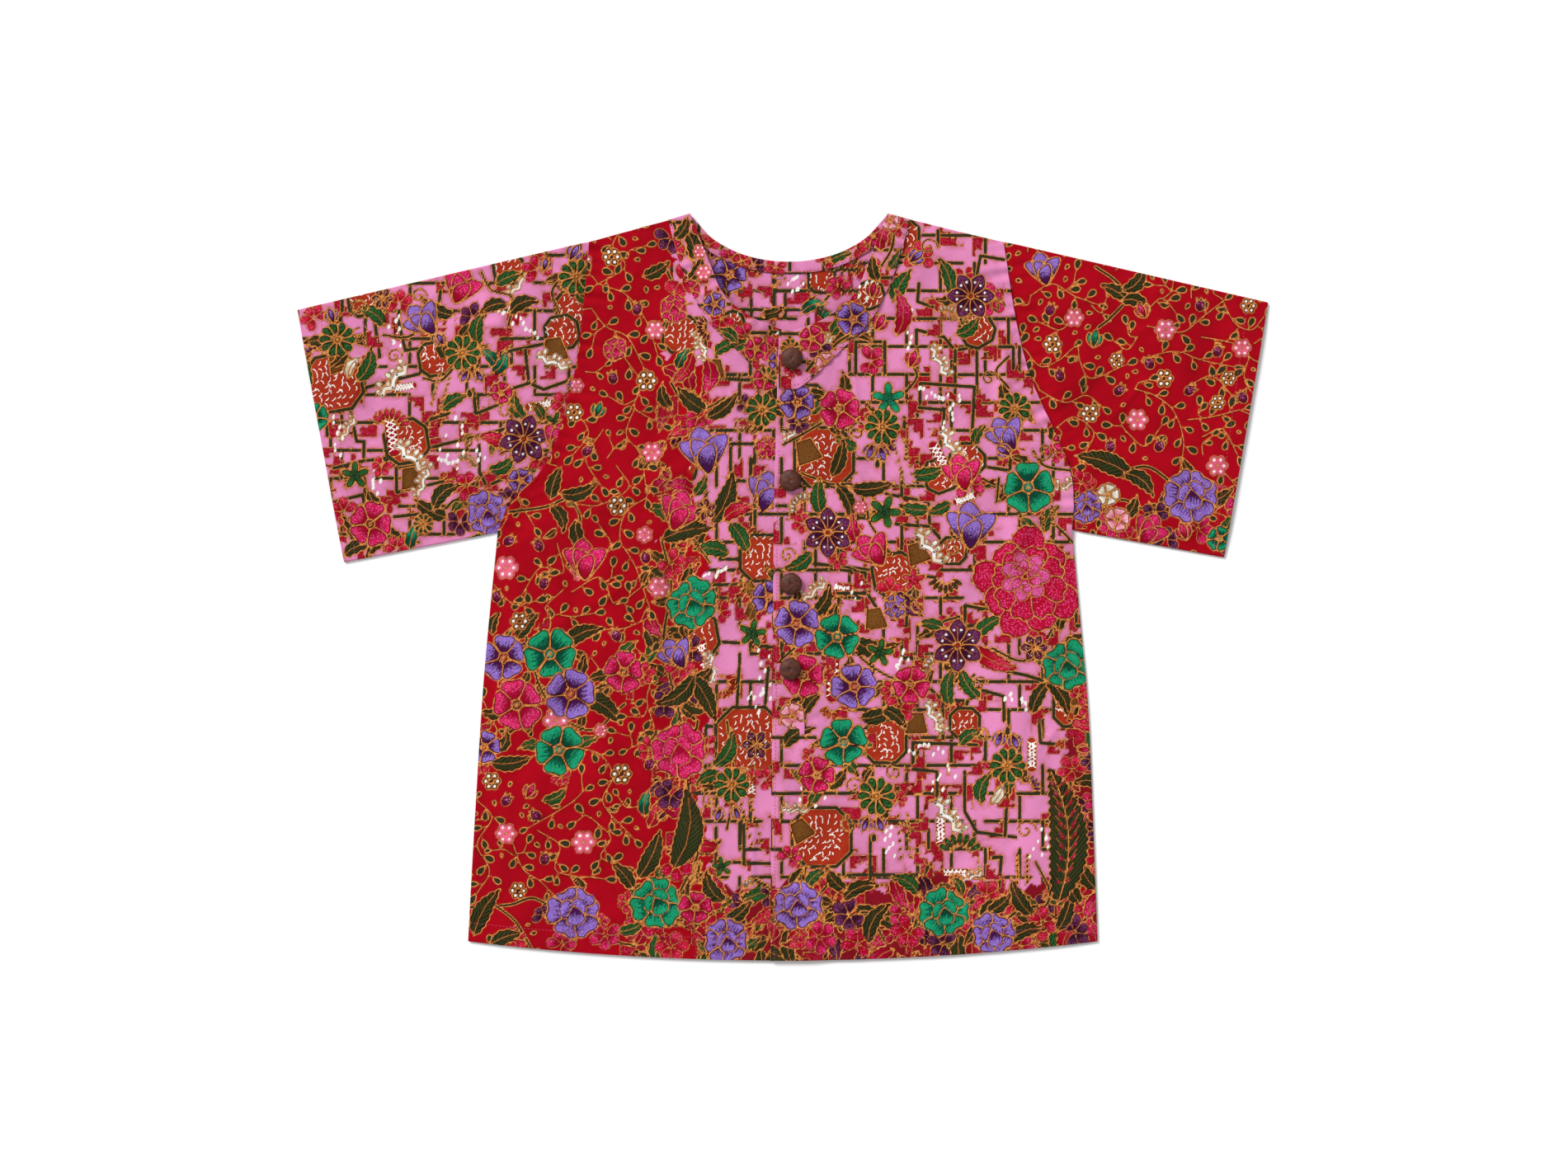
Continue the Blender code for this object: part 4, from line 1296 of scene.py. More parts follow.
def sprout(cloth, x, y, size, turn, tone):
    """A short curled tendril with a few buds."""
    draw = seeded(x, y)
    middle = around(x, y, draw.choice([-1, 1]) * draw.uniform(0.3, 0.6) * size, turn + 90)
    knots = [around(x, y, -size, turn), middle, around(x, y, size, turn)]
    vine(cloth, knots, gap=6.0, stalk=2.0, bud_size=6.6)


def twig(cloth, x, y, size, turn, tone):
    """A short dark stem with a few drops."""
    draw = seeded(x, y)
    ends = [around(x, y, -size, turn), (x, y), around(x, y, size, turn + draw.uniform(-50, 50))]
    cloth.band(ends, 0.9, "soot", HAIR_HALF)
    for k, end in enumerate(ends):
        way = turn + 70 * (k % 2 * 2 - 1)
        bud(cloth, *around(*end, 2.6, way), 4.6, way, "")


def stem(cloth, knots):
    """A dark stem with gold edges."""
    cloth.band(spline(knots, 30), STEM_HALF, "soot")


def lattice(cloth, knots):
    """A straight strip of the lattice, olive with fine dots and gold edges."""
    cloth.band(knots, BAND_HALF, "olive", HAIR_HALF, linear(STRIP_SPECKS), STRIP_SHARE)


# The stepped strips by rule, in millimetres, and how many of them and of their scraps are there
FRET_ACROSS = 28.0
FRET_UP = 23.0
FRET_STEP = 9.0
FRET_SHARE = 0.66
FRET_SCRAPS = 0.4


def fret(cloth, seed):
    """Stepped strips by rule all over the pink ground, with crimson scraps in their corners."""
    draw = np.random.default_rng(seed)
    strips, corners = [], []
    for x in np.arange(cloth.x.min(), cloth.x.max(), FRET_ACROSS):
        for row, y in enumerate(np.arange(cloth.y.min(), cloth.y.max(), FRET_UP)):
            left = x + (FRET_STEP if row % 2 else 0)
            if draw.uniform() < FRET_SHARE:
                strips.append([(left, y), (left, y + FRET_UP)])
            if draw.uniform() < FRET_SHARE:
                strips.append([(left, y), (left + FRET_ACROSS + FRET_STEP, y)])
            if draw.uniform() < FRET_SCRAPS:
                corners.append((left + draw.uniform(-6, 6), y + draw.uniform(-6, 6)))
    for x, y in corners:
        size, turn = draw.uniform(8.5, 13), draw.uniform(0, 90)
        ragged(cloth, x, y, size, turn, "")
    for knots in strips:
        lattice(cloth, knots)


# The layout of each panel
FRONT_LEFT_RED_EDGE = [
    (-84, 312), (-97, 210), (-92, 130), (-101, 40), (-96, -60), (-104, -150), (-96, -230), (-70, -312),
]
# Strips of the lattice as x, y, x, y and so on
LATTICE = {
    "front_left": [
        (-43, 122, -43, 68), (-23, 118, -23, 38), (-43, 118, -8, 118), (-43, 88, -8, 86),
        (-45, 68, -8, 66), (-28, 38, -4, 38), (-52, 23, -28, 23), (-62, 2, -35, 2, -33, 12),
        (-35, 2, -28, -10), (-58, -38, -53, -45, -36, -46), (-22, -48, -4, -50),
        (-36, -66, -38, -103, -15, -104, -12, -66), (-38, -103, -52, -115, -78, -114),
        (-78, -192, -78, -225, -6, -228), (-55, -198, -55, -238), (-32, -188, -32, -228),
        (-60, -240, -60, -262, -30, -262), (-20, 170, -20, 138), (-52, 172, -20, 170),
    ],
    "front_right": [
        (128, 294, 128, 280), (160, 258, 163, 273, 182, 270), (112, 250, 111, 235, 132, 228),
        (110, 200, 110, 212, 133, 206, 142, 195, 160, 198, 190, 198, 190, 180), (142, 195, 142, 160),
        (160, 198, 160, 160), (113, 148, 113, 168, 158, 165, 155, 108), (112, 148, 133, 146, 132, 125),
        (110, 103, 124, 102, 124, 85), (160, 100, 187, 96, 188, 115), (85, 77, 120, 70, 121, 50, 133, 36),
        (93, 52, 120, 50), (98, 50, 98, 28), (98, 95, 98, 75), (100, 140, 100, 120), (56, 108, 56, 90),
        (75, 80, 75, 58), (50, 57, 75, 57), (27, 32, 27, 18), (48, 32, 48, 18), (20, 20, 75, 14),
        (-5, 67, 10, 67), (40, 15, 68, 12, 68, -3, 78, -18), (45, -5, 68, -5), (108, 15, 108, -12),
        (110, 10, 125, 8), (150, -30, 150, -15, 165, -18), (186, -35, 186, -65),
        (165, -65, 202, -73, 222, -80),
        (98, -45, 98, -58, 118, -60, 118, -80, 130, -92, 152, -94, 165, -85, 182, -90, 182, -110),
        (132, -92, 132, -125), (152, -94, 150, -128), (107, -145, 107, -128, 160, -130),
        (210, -95, 212, -128, 230, -130), (107, -150, 127, -152, 127, -175),
        (150, -152, 150, -185, 160, -202, 192, -206), (185, -165, 183, -205), (95, -165, 97, -180),
        (105, -200, 120, -200, 120, -215), (30, -237, 117, -237, 120, -228), (117, -237, 117, -258),
        (50, -198, 50, -237), (72, -205, 72, -246), (-4, -222, 12, -222, 20, -236),
        (173, -223, 180, -222, 178, -248), (155, -258, 175, -258), (230, -160, 232, -178, 246, -182),
        (60, 176, 60, 202, 84, 202), (84, 202, 84, 176), (168, 14, 168, -18), (140, 60, 160, 62),
        (196, 130, 196, 152), (-4, -100, 8, -100), (240, -20, 222, -22, 222, -40),
    ],
    "sleeve_left": [
        (-232, 193, -165, 207), (-212, 195, -209, 168, -197, 163, -172, 172),
        (-232, 193, -228, 162, -209, 168), (-255, 163, -253, 143, -235, 150), (-290, 138, -275, 143),
        (-290, 115, -230, 130), (-250, 117, -250, 95, -245, 85), (-240, 85, -210, 98),
        (-337, 222, -332, 190, -341, 188),
        (-317, 220, -311, 195, -292, 198, -290, 178, -350, 163, -358, 150, -377, 146, -375, 125),
        (-357, 150, -351, 120, -345, 120, -345, 104, -328, 106, -318, 98, -300, 100, -293, 115, -293, 135),
        (-318, 98, -318, 78, -280, 87), (-345, 104, -370, 98), (-320, 58, -300, 60, -300, 47),
        (-300, 222, -284, 226, -282, 244), (-262, 230, -262, 206), (-206, 274, -204, 256),
        (-370, 70, -346, 76, -344, 60), (-386, 206, -372, 206),
    ],
    "neckband_left": [
        (-58, 222, -40, 226), (-84, 262, -70, 252),
    ],
    "neckband_right": [
        (50, 232, 66, 226), (20, 178, 34, 196),
    ],
    "back_inside": [
        (-44, 229, 24, 229), (-7, 246, -7, 229), (40, 262, 64, 262), (-66, 262, -66, 240),
    ],
}
# Gold vines
VINES = {
    "front_left": [
        (-126, 304, -140, 282, -130, 264, -152, 250), (-152, 250, -128, 240, -112, 218, -104, 194),
        (-158, 230, -146, 215, -128, 206, -116, 184), (-131, 190, -117, 168, -122, 148, -103, 136),
        (-122, 148, -129, 126, -117, 108, -112, 76), (-148, 130, -162, 106, -150, 84),
        (-137, 100, -127, 82, -150, 68, -166, 68), (-112, 74, -129, 62, -134, 40, -122, 18, -110, -16),
        (-206, 88, -218, 74, -206, 52), (-186, 36, -181, 12, -200, 16, -216, -8),
        (-174, -4, -150, 8, -138, -14, -119, -2), (-181, -2, -196, -18, -176, -24, -158, -22),
        (-112, -26, -132, -34, -157, -34), (-104, -66, -112, -92, -106, -120, -124, -132),
        (-158, -58, -140, -84, -152, -92), (-166, -133, -150, -138, -140, -156, -148, -178, -124, -206),
        (-252, -176, -240, -190, -252, -212, -242, -234, -252, -252),
        (-222, -212, -214, -232, -200, -242, -188, -254), (-202, -200, -184, -213, -186, -234, -150, -240),
        (-158, -190, -142, -206, -150, -222, -134, -230), (-172, -176, -188, -186, -206, -196),
        (-238, 2, -222, -14, -206, -12), (-150, 22, -142, 36, -150, 50),
        (-244, -100, -236, -120, -246, -140), (-126, -46, -112, -56, -100, -48),
        (-176, 150, -160, 128, -172, 110),
    ],
    "sleeve_right": [
        (204, 240, 222, 250, 240, 240, 256, 234), (200, 196, 212, 182, 226, 186, 238, 196),
        (212, 162, 232, 152, 250, 158, 262, 150), (243, 200, 245, 185, 254, 172, 280, 182),
        (226, 132, 240, 140, 256, 128, 250, 112), (300, 215, 328, 210, 345, 222, 362, 235),
        (362, 238, 372, 218, 386, 212, 396, 222), (296, 188, 322, 194, 345, 187, 368, 182),
        (290, 163, 306, 158, 322, 145, 330, 120, 326, 92), (345, 206, 358, 204, 374, 200),
        (338, 168, 354, 174, 368, 160), (334, 138, 352, 140, 376, 146), (346, 124, 362, 130, 374, 110),
        (283, 128, 298, 116, 310, 130), (300, 228, 312, 238, 322, 228), (354, 104, 366, 92, 376, 80),
        (292, 206, 284, 196, 274, 202), (240, 222, 228, 212, 212, 218), (340, 52, 352, 62, 366, 58),
        (254, 232, 262, 226, 266, 236), (384, 190, 380, 172, 388, 158), (220, 110, 236, 100, 240, 88),
    ],
}
# Dark stems under the flowers
STEMS = {
    "front_left": [
        (-226, 62, -196, 66, -178, 72, -167, 58, -170, 34), (-215, -28, -196, -90, -160, -118, -130, -96),
        (-165, -88, -140, -78, -122, -72), (-258, -264, -226, -262, -206, -256, -188, -266),
        (-238, -262, -220, -276, -206, -300), (-160, -278, -144, -290, -122, -296),
        (-100, 40, -92, 0, -98, -48, -84, -110), (-62, 78, -76, 48, -60, 20),
        (-92, 168, -80, 150, -62, 148, -48, 156), (-70, -110, -78, -160, -68, -210, -84, -250),
        (-46, -110, -40, -160, -46, -200), (-24, -240, -6, -252), (-96, 262, -88, 240, -96, 214),
    ],
    "front_right": [
        (0, 117, 20, 128, 40, 140), (15, 94, 40, 85, 58, 84, 68, 68, 72, 52, 82, 38),
        (160, 92, 176, 84, 196, 82), (206, 112, 216, 100, 238, 96), (178, 90, 176, 70),
        (214, 62, 232, 44, 240, 36), (58, -52, 74, -66, 96, -78), (10, -50, -2, -60),
        (224, -30, 216, -50, 226, -66), (120, -32, 146, -24), (172, -50, 192, -60, 206, -60),
        (182, -276, 204, -262, 236, -280), (36, -264, 54, -274, 70, -268, 84, -292),
        (40, -242, 28, -254, 10, -262), (208, -226, 220, -252, 212, -270), (146, -84, 158, -72),
        (90, 150, 110, 172, 104, 186), (186, 164, 176, 178, 186, 190),
    ],
    "sleeve_left": [
        (-249, 260, -240, 245, -222, 238, -226, 215), (-322, 38, -300, 37), (-252, 62, -268, 72, -280, 62),
        (-176, 262, -190, 244, -184, 226), (-296, 214, -310, 206, -330, 208), (-342, 60, -352, 44),
        (-270, 182, -282, 170, -296, 172),
    ],
    "sleeve_right": [
        (258, 264, 275, 252, 283, 238, 270, 222, 260, 214), (248, 104, 276, 96, 300, 99, 320, 86),
        (262, 66, 280, 72, 300, 62), (352, 46, 366, 34),
    ],
    "neckband_left": [
        (-90, 300, -82, 280, -70, 262), (-52, 214, -30, 200, -10, 190),
    ],
    "neckband_right": [
        (92, 304, 90, 280, 80, 262), (60, 210, 44, 200, 30, 182),
    ],
    "back_inside": [
        (20, 226, 34, 236, 46, 250),
    ],
}
# Flowers, leaves and patches: kind and tone, then (x, y, size, turn) of each. Turn is 0 where left out
MOTIFS = {
    "front_left": [
        ("ragged", (-40, -4, 8), (-34, -22, 9), (-50, -106, 8), (-32, 52, 8), (-66, 24, 9),
         (-62, -216, 9), (-20, 96, 7), (-64, -186, 8), (-16, -212, 8)),
        ("patch", (-16, 24, 14), (-74, -40, 15, 10), (-28, -126, 20), (-88, 100, 12, 30), (-22, -276, 14),
         (-84, 208, 11)),
        ("trellis", (-67, -58, 9, 90)),
        ("lace", (-58, -66, 9, 100), (-66, 199, 9, 110), (-12, 150, 8, 80)),
        ("trellis orange", (-26, -160, 8, 90)),
        ("vase", (-56, 180, 8)),
        ("fan orange", (-50, -80, 12, -40)),
        ("fan plum", (-60, 214, 11, 200)),
        ("fan cream", (-24, -250, 11, 90)),
        ("dots", (-14, -72, 20, 94), (-21, -92, 9, 60), (-58, 10, 12, 30)),
        ("bunch", (-88, 66, 13), (-92, 20, 12), (-86, -66, 12), (-98, -96, 12), (-92, -170, 14),
         (-88, -228, 15), (-56, -268, 15), (-118, -280, 14), (-146, -286, 13), (-92, -296, 14),
         (-182, -294, 12), (-84, 252, 14), (-92, 288, 13), (-14, -158, 10), (-222, -290, 10)),
        ("leaf leaf", (-187, 86, 11, 72), (-168, 82, 13, 18), (-186, 56, 10, -66), (-192, 44, 7, 215),
         (-166, 42, 11, -70), (-210, -32, 11, 50), (-164, -42, 15, 24), (-151, -101, 18, -34),
         (-213, -112, 10, -62), (-236, -30, 8, 70), (-224, -142, 14, 8), (-110, -220, 17, 66),
         (-132, -238, 11, 130), (-244, -268, 17, 60), (-228, -290, 11, 20), (-75, 155, 12, 140),
         (-50, 150, 13, 40), (-95, 158, 9, 110)),
        ("leaf green", (-188, -170, 9, 30), (-125, -280, 9, 20), (-68, 84, 8, 60)),
        ("leaf emerald", (-112, -178, 9, 80), (-82, 188, 8, 60)),
        ("leaf leaf", (-50, 74, 18, 68), (-78, 44, 17, 12), (-70, -72, 11, 30), (-66, -92, 17, -62),
         (-90, -84, 16, 215), (-85, -198, 26, 82), (-55, -246, 12, 120), (-38, -268, 13, 40),
         (-104, 262, 10, 30), (-112, 8, 7, 60)),
        ("leaf green", (-36, 40, 12, -60), (-50, -132, 14, 64)),
        ("leaf red", (-36, 60, 11, 20), (-76, -158, 11, -50)),
        ("leaf green", (-60, -160, 10, 200), (-46, 196, 9, 20), (-98, -262, 10, 160)),
        ("leaf brown", (-28, -4, 9, 120), (-22, -18, 9, 60)),
        ("star_leaf green", (-25, -38, 12, 80), (-50, -230, 9, 30), (-60, 108, 8)),
        ("thistle", (-120, 229, 6, 70), (-140, 172, 6, 100), (-161, 112, 6, 40), (-201, 34, 6, 120),
         (-226, 38, 6, 30), (-113, 24, 6, 110), (-197, 3, 6, 70), (-236, -8, 6, 100), (-137, -40, 6, 120),
         (-228, -176, 6, 60), (-203, -188, 6, 150), (-196, -224, 6, 80)),
        ("berry", (-105, 212, 8), (-108, 111, 9), (-228, 16, 10), (-166, 14, 9), (-187, -110, 11),
         (-228, -203, 9), (-164, -210, 10), (-102, 0, 9), (-170, 166, 6), (-150, -118, 6)),
        ("dot_flower", (-141, 272, 8), (-112, 170, 9), (-172, 144, 8), (-136, 67, 8.5), (-217, -28, 8),
         (-240, -160, 8), (-133, -154, 9), (-218, -250, 7.5)),
        ("tulip emerald", (-152, 146, 8, 70)),
        ("tulip magenta", (-163, 22, 12, 90), (-208, -168, 8, 60), (-85, 62, 12, 70)),
        ("rose magenta", (-138, 196, 10), (-90, 230, 12)),
        ("blossom purple", (-230, -58, 18, 16)),
        ("blossom emerald", (-192, -55, 20, 52)),
        ("blossom magenta", (-219, -97, 20, 30)),
        ("blossom purple", (-175, -88, 20)),
        ("blossom emerald", (-184, -134, 19, 40)),
        ("blossom magenta", (-131, -70, 16, 10)),
        ("blossom purple", (-246, -132, 13)),
        ("rose purple", (-172, -267, 21)),
        ("rose emerald", (-104, -260, 20, 20)),
        ("tulip purple", (-64, 112, 14, 100), (-13, 78, 12, 76), (-88, -55, 10, 120)),
        ("lily plum", (-64, 64, 9, 20), (-22, -130, 12)),
        ("rose emerald", (-75, -14, 21, 10)),
        ("rose magenta", (-86, -134, 22)),
        ("daisy green", (-17, 146, 13), (-42, -163, 14)),
        ("tulip purple", (-53, -187, 7, -110), (-38, -186, 7, -70), (-56, 236, 10, 100)),
        ("rose magenta", (-13, 116, 9)),
        ("rose purple", (-46, -292, 19)),
        ("blossom magenta", (-72, -264, 13, 10), (-14, 172, 10)),
        ("blossom purple", (-12, -8, 13)),
        ("curl", (-34, 132, 8), (-60, -176, 7, 90)),
        ("sprig green", (-26, -194, 17, -76)),
        ("feather green", (-72, -236, 12, 70)),
        ("thistle", (-110, -146, 6, 60)),
    ],
    "front_right": [
        ("ragged", (128, 232, 9), (125, 212, 8), (150, 188, 8), (172, 194, 8), (165, 146, 10),
         (110, 133, 10), (118, 105, 8), (120, 76, 9), (114, 60, 7), (161, 28, 11), (232, 52, 9),
         (64, 4, 9), (62, -16, 8), (116, -52, 8), (112, -70, 8), (122, -92, 7), (143, -102, 8),
         (163, -98, 8), (182, -40, 10), (5, -154, 7), (160, -150, 8), (182, -176, 9), (110, -165, 8),
         (115, -196, 8), (112, -224, 7), (12, 60, 8), (172, -236, 8), (60, -226, 8), (150, 120, 8),
         (210, -106, 9)),
        ("patch", (34, 107, 18), (130, 92, 10, 20), (152, 104, 10, 45), (92, 10, 13, 10), (84, -127, 13),
         (32, -206, 18), (238, -100, 11), (150, -112, 9), (96, 288, 12), (160, 212, 10, 30), (20, 150, 12),
         (140, 30, 8)),
        ("vase", (20, 112, 10, 20), (111, 28, 9, 20), (110, -112, 9), (15, -200, 9, 30), (76, -26, 9, 10),
         (236, -88, 10)),
        ("trellis", (130, 106, 9, -60), (150, 73, 6, 20), (41, -74, 12, 90), (130, -200, 8, 90)),
        ("trellis orange", (143, -236, 8), (205, -138, 8, 90)),
        ("lace", (10, 130, 9, 60), (128, 186, 10, -60), (138, 115, 11, -58), (120, 32, 12, -50),
         (236, 84, 9, 20), (26, -4, 9, 40), (124, -108, 10, -60), (136, -190, 12, -50), (155, -240, 8, 30),
         (238, -150, 8, 70), (10, -184, 8), (64, 208, 8, 30)),
        ("fan cream", (135, 222, 11, 60), (18, 65, 13, 130), (128, -68, 13, 160)),
        ("fan orange", (42, -96, 13, -90), (232, -120, 13, -60)),
        ("fan green", (146, -222, 19, 90)),
        ("fan purple", (200, -166, 12, 60), (98, -20, 10, 70)),
        ("fan magenta", (238, 16, 10, 100)),
        ("dots", (106, 212, 15, 100), (124, 159, 12, -10), (140, 144, 14, 80), (52, -2, 12, -8),
         (118, -134, 14), (196, -94, 8, 110), (22, -172, 12, -30), (131, -158, 12, 70), (36, 146, 8, 90),
         (214, -212, 12, 80), (96, -60, 8, 60), (88, -210, 12, 90)),
        ("bunch", (112, 272, 13), (170, 236, 13), (72, 186, 12), (154, 84, 12), (88, -4, 12),
         (96, -100, 13), (55, -270, 15), (30, -288, 14), (62, -294, 13), (214, -276, 14), (240, -284, 13),
         (104, -284, 14), (132, -294, 12), (196, -296, 12), (212, -34, 12), (6, -222, 10), (236, -206, 12),
         (224, 110, 9)),
        ("leaf green", (98, 248, 12, 60), (133, 256, 13, 110), (152, 216, 10, 40), (52, 120, 9, 150),
         (31, 75, 12, 92), (12, 22, 11, 210), (163, 125, 8, 60), (122, -32, 9, 170), (170, -33, 13, 34),
         (140, -82, 13, 84), (154, -78, 13, 120), (155, -125, 9, 30), (28, -240, 9, 40),
         (168, -166, 11, 70), (128, 66, 9, 200), (120, 96, 11, 14)),
        ("leaf magenta", (93, 226, 15, 92)),
        ("leaf cream", (176, -170, 8, 60)),
        ("leaf leaf", (45, 107, 13, 74), (74, 84, 14, 8), (50, 68, 13, -70), (84, 34, 9, -50),
         (30, -10, 13, 60), (76, -43, 17, -6), (25, -96, 9, 50), (14, -124, 12, 30), (78, -103, 12, 20),
         (92, -108, 10, -40), (213, -90, 13, 60), (226, -92, 14, -60), (236, -22, 13, 60),
         (65, -252, 13, 20), (44, -240, 10, 130), (80, -277, 15, 60), (197, -255, 14, 120),
         (178, -260, 10, 40), (232, -268, 13, 70), (241, -248, 11, 110), (202, -288, 13, 20),
         (226, 128, 8, 80), (24, 178, 10, 30)),
        ("leaf red", (176, -58, 16, -26)),
        ("leaf magenta", (60, 48, 10, 100)),
        ("leaf plum", (104, -14, 12, -40)),
        ("leaf green", (108, 66, 10, 170), (232, -172, 11, 60), (100, -246, 11, 150), (222, 56, 10, 60)),
        ("star_leaf emerald", (87, 155, 14, 20)),
        ("star_leaf green", (84, 62, 14, 70), (80, -54, 12, 80), (64, -130, 10), (196, 38, 9)),
        ("star_leaf red", (108, 6, 10, 90)),
        ("curl", (120, 280, 8), (62, 128, 8, 60), (4, 26, 7), (141, 32, 9, 30), (215, 112, 9, 200),
         (170, 172, 7), (112, -16, 8, 90), (162, -80, 7), (164, -120, 7, 200), (58, -164, 8),
         (55, -196, 8, 90), (200, -200, 9), (208, -18, 8), (92, -152, 7, 120), (176, 232, 7)),
        ("sprig cream", (100, 102, 17, -76), (152, 232, 11, 60)),
        ("sprig green", (100, -205, 17, -86)),
        ("sprig brown", (218, 64, 12, -86)),
        ("sprig leaf", (197, -232, 11, 90)),
        ("frond leaf", (223, -204, 56, 94)),
        ("fan leaf", (134, 10, 15, -90)),
        ("lily plum", (155, 240, 19), (37, 45, 20, 30), (144, -48, 21, 30)),
        ("daisy green", (82, 132, 14), (191, 147, 13, 10), (77, -172, 15), (185, -147, 14)),
        ("rose purple", (58, 222, 15), (12, -262, 20)),
        ("tulip magenta", (107, 188, 9, 70), (74, 30, 11, 126), (80, 218, 9, 60)),
        ("blossom purple", (12, 152, 14), (11, -30, 18, 10)),
        ("blossom magenta", (47, 147, 16, 70), (232, 120, 9)),
        ("tulip purple", (72, 112, 8, -110), (82, 110, 8, -70), (68, -195, 8, -110), (80, -195, 8, -70),
         (178, -125, 8, -110), (191, -127, 8, -70), (184, 126, 11, 118), (182, 112, 8, 150),
         (155, 50, 14, 88), (110, 272, 9, 40), (196, 250, 9, 110)),
        ("bud", (78, 102, 8, -90), (75, -206, 8, -90), (185, -118, 8, -90)),
        ("tulip magenta", (148, 94, 11, 100)),
        ("peony magenta", (203, 3, 41, 8)),
        ("blossom emerald", (202, 82, 20, 18), (45, -41, 18, 40)),
        ("blossom magenta", (17, -73, 17)),
        ("blossom purple", (59, -82, 18, 30)),
        ("blossom emerald", (50, -128, 18, 18)),
        ("blossom magenta", (105, -80, 15, 50), (28, -155, 14)),
        ("rose emerald", (234, -65, 21), (133, -268, 19)),
        ("lily plum", (207, -50, 11)),
        ("rose purple", (173, -286, 18, 10), (92, -16, 10)),
        ("blossom berry", (8, -106, 10)),
        ("berry", (64, 66, 6)),
    ],
    "sleeve_left": [
        ("ragged", (-193, 238, 8), (-217, 178, 8), (-192, 176, 8), (-240, 170, 9), (-338, 203, 9),
         (-350, 158, 7), (-300, 152, 8), (-288, 128, 8), (-288, 104, 8), (-272, 94, 7), (-376, 110, 8),
         (-230, 92, 7), (-262, 130, 8), (-378, 84, 9), (-330, 70, 8), (-316, 40, 8), (-392, 196, 8)),
        ("patch", (-172, 230, 11, 10), (-182, 210, 10, 10), (-370, 168, 17, 10), (-286, 188, 10, 10),
         (-310, 120, 13, 10), (-226, 262, 9, 10), (-346, 236, 9, 10)),
        ("vase", (-188, 196, 10, 10), (-306, 90, 9, 10), (-366, 186, 9, 20)),
        ("trellis", (-312, 165, 6, 10), (-322, 125, 10, 100)),
        ("trellis orange", (-200, 150, 7, 10)),
        ("lace", (-216, 250, 9, 50), (-190, 185, 10, -20), (-320, 170, 12, 50), (-306, 106, 12, -40),
         (-296, 86, 9, 70), (-358, 130, 8, 60)),
        ("fan red", (-324, 130, 17, 80)),
        ("fan purple", (-181, 240, 10, 60), (-384, 190, 11, 90)),
        ("fan cream", (-252, 196, 10, 200), (-262, 100, 10, 60)),
        ("fan orange", (-210, 122, 11, -60)),
        ("dots", (-214, 212, 14, 150), (-224, 226, 8, 30), (-320, 210, 12, 100), (-367, 124, 16, 95),
         (-270, 120, 18, 75), (-276, 104, 10, 150), (-244, 112, 9, 80), (-336, 88, 9, 60)),
        ("bunch", (-180, 150, 12), (-202, 262, 12), (-256, 222, 12), (-316, 234, 12), (-386, 222, 11),
         (-260, 84, 12), (-266, 54, 12), (-330, 100, 9), (-362, 62, 12), (-318, 32, 10), (-200, 106, 10),
         (-226, 72, 10)),
        ("leaf green", (-225, 254, 10, 20), (-340, 222, 11, 150), (-232, 103, 10, 30),
         (-216, 150, 10, 110), (-248, 213, 11, 80), (-345, 184, 12, 70), (-270, 152, 10, 30),
         (-390, 176, 9, 90)),
        ("leaf cream", (-353, 181, 8, 60)),
        ("leaf leaf", (-238, 229, 10, 200), (-212, 230, 11, 20), (-285, 232, 13, 150),
         (-228, 52, 11, 110), (-290, 65, 12, 150), (-276, 74, 12, 40), (-355, 45, 12, 120),
         (-350, 30, 10, 20)),
        ("leaf emerald", (-243, 188, 9, 130), (-234, 186, 9, 60), (-304, 42, 9, 70)),
        ("leaf red", (-238, 120, 11, 160)),
        ("star_leaf green", (-352, 92, 12, 20), (-188, 136, 9)),
        ("sprig cream", (-282, 161, 12, 74)),
        ("curl", (-350, 230, 8), (-349, 206, 8, 90), (-228, 145, 8), (-300, 240, 7), (-258, 120, 7),
         (-320, 190, 7)),
        ("daisy green", (-170, 256, 14), (-264, 193, 14), (-367, 204, 14), (-296, 52, 8)),
        ("lily plum", (-213, 122, 20, 12), (-330, 238, 9)),
        ("tulip purple", (-172, 276, 9, 60), (-196, 266, 7, 80), (-282, 204, 7, 120),
         (-262, 174, 7, -120), (-250, 174, 7, -60), (-372, 224, 8, 110)),
        ("bud", (-258, 160, 8, -80)),
        ("tulip magenta", (-265, 248, 11, 70), (-184, 122, 10, 70)),
        ("tulip purple", (-296, 220, 11, 130), (-170, 168, 9, 100)),
        ("blossom magenta", (-340, 52, 17), (-232, 160, 9)),
        ("berry", (-183, 104, 8)),
        ("rose purple", (-244, 60, 18)),
        ("blossom emerald", (-386, 140, 12, 20)),
        ("tulip emerald", (-372, 44, 9, 40)),
        ("blossom purple", (-216, 88, 10)),
    ],
    "sleeve_right": [
        ("leaf leaf", (273, 243, 10, 150), (289, 255, 11, 50), (291, 232, 10, -20), (264, 100, 19, 160),
         (293, 84, 12, -40), (286, 66, 9, 60), (360, 76, 10, 30), (312, 66, 9, 160), (240, 72, 9, 100)),
        ("leaf green", (370, 50, 9, 70)),
        ("bunch", (272, 52, 12), (306, 62, 11), (342, 48, 12), (364, 38, 10), (246, 86, 10),
         (286, 40, 10), (316, 40, 11)),
        ("tulip purple", (215, 262, 10, 100)),
        ("tulip emerald", (257, 205, 9, 80)),
        ("berry", (240, 222, 8), (315, 212, 9), (378, 197, 8), (292, 138, 9), (358, 100, 9)),
        ("dot_flower", (222, 200, 8), (253, 143, 8), (314, 172, 8), (275, 187, 6.5), (367, 172, 6.5),
         (358, 152, 6.5), (384, 232, 7)),
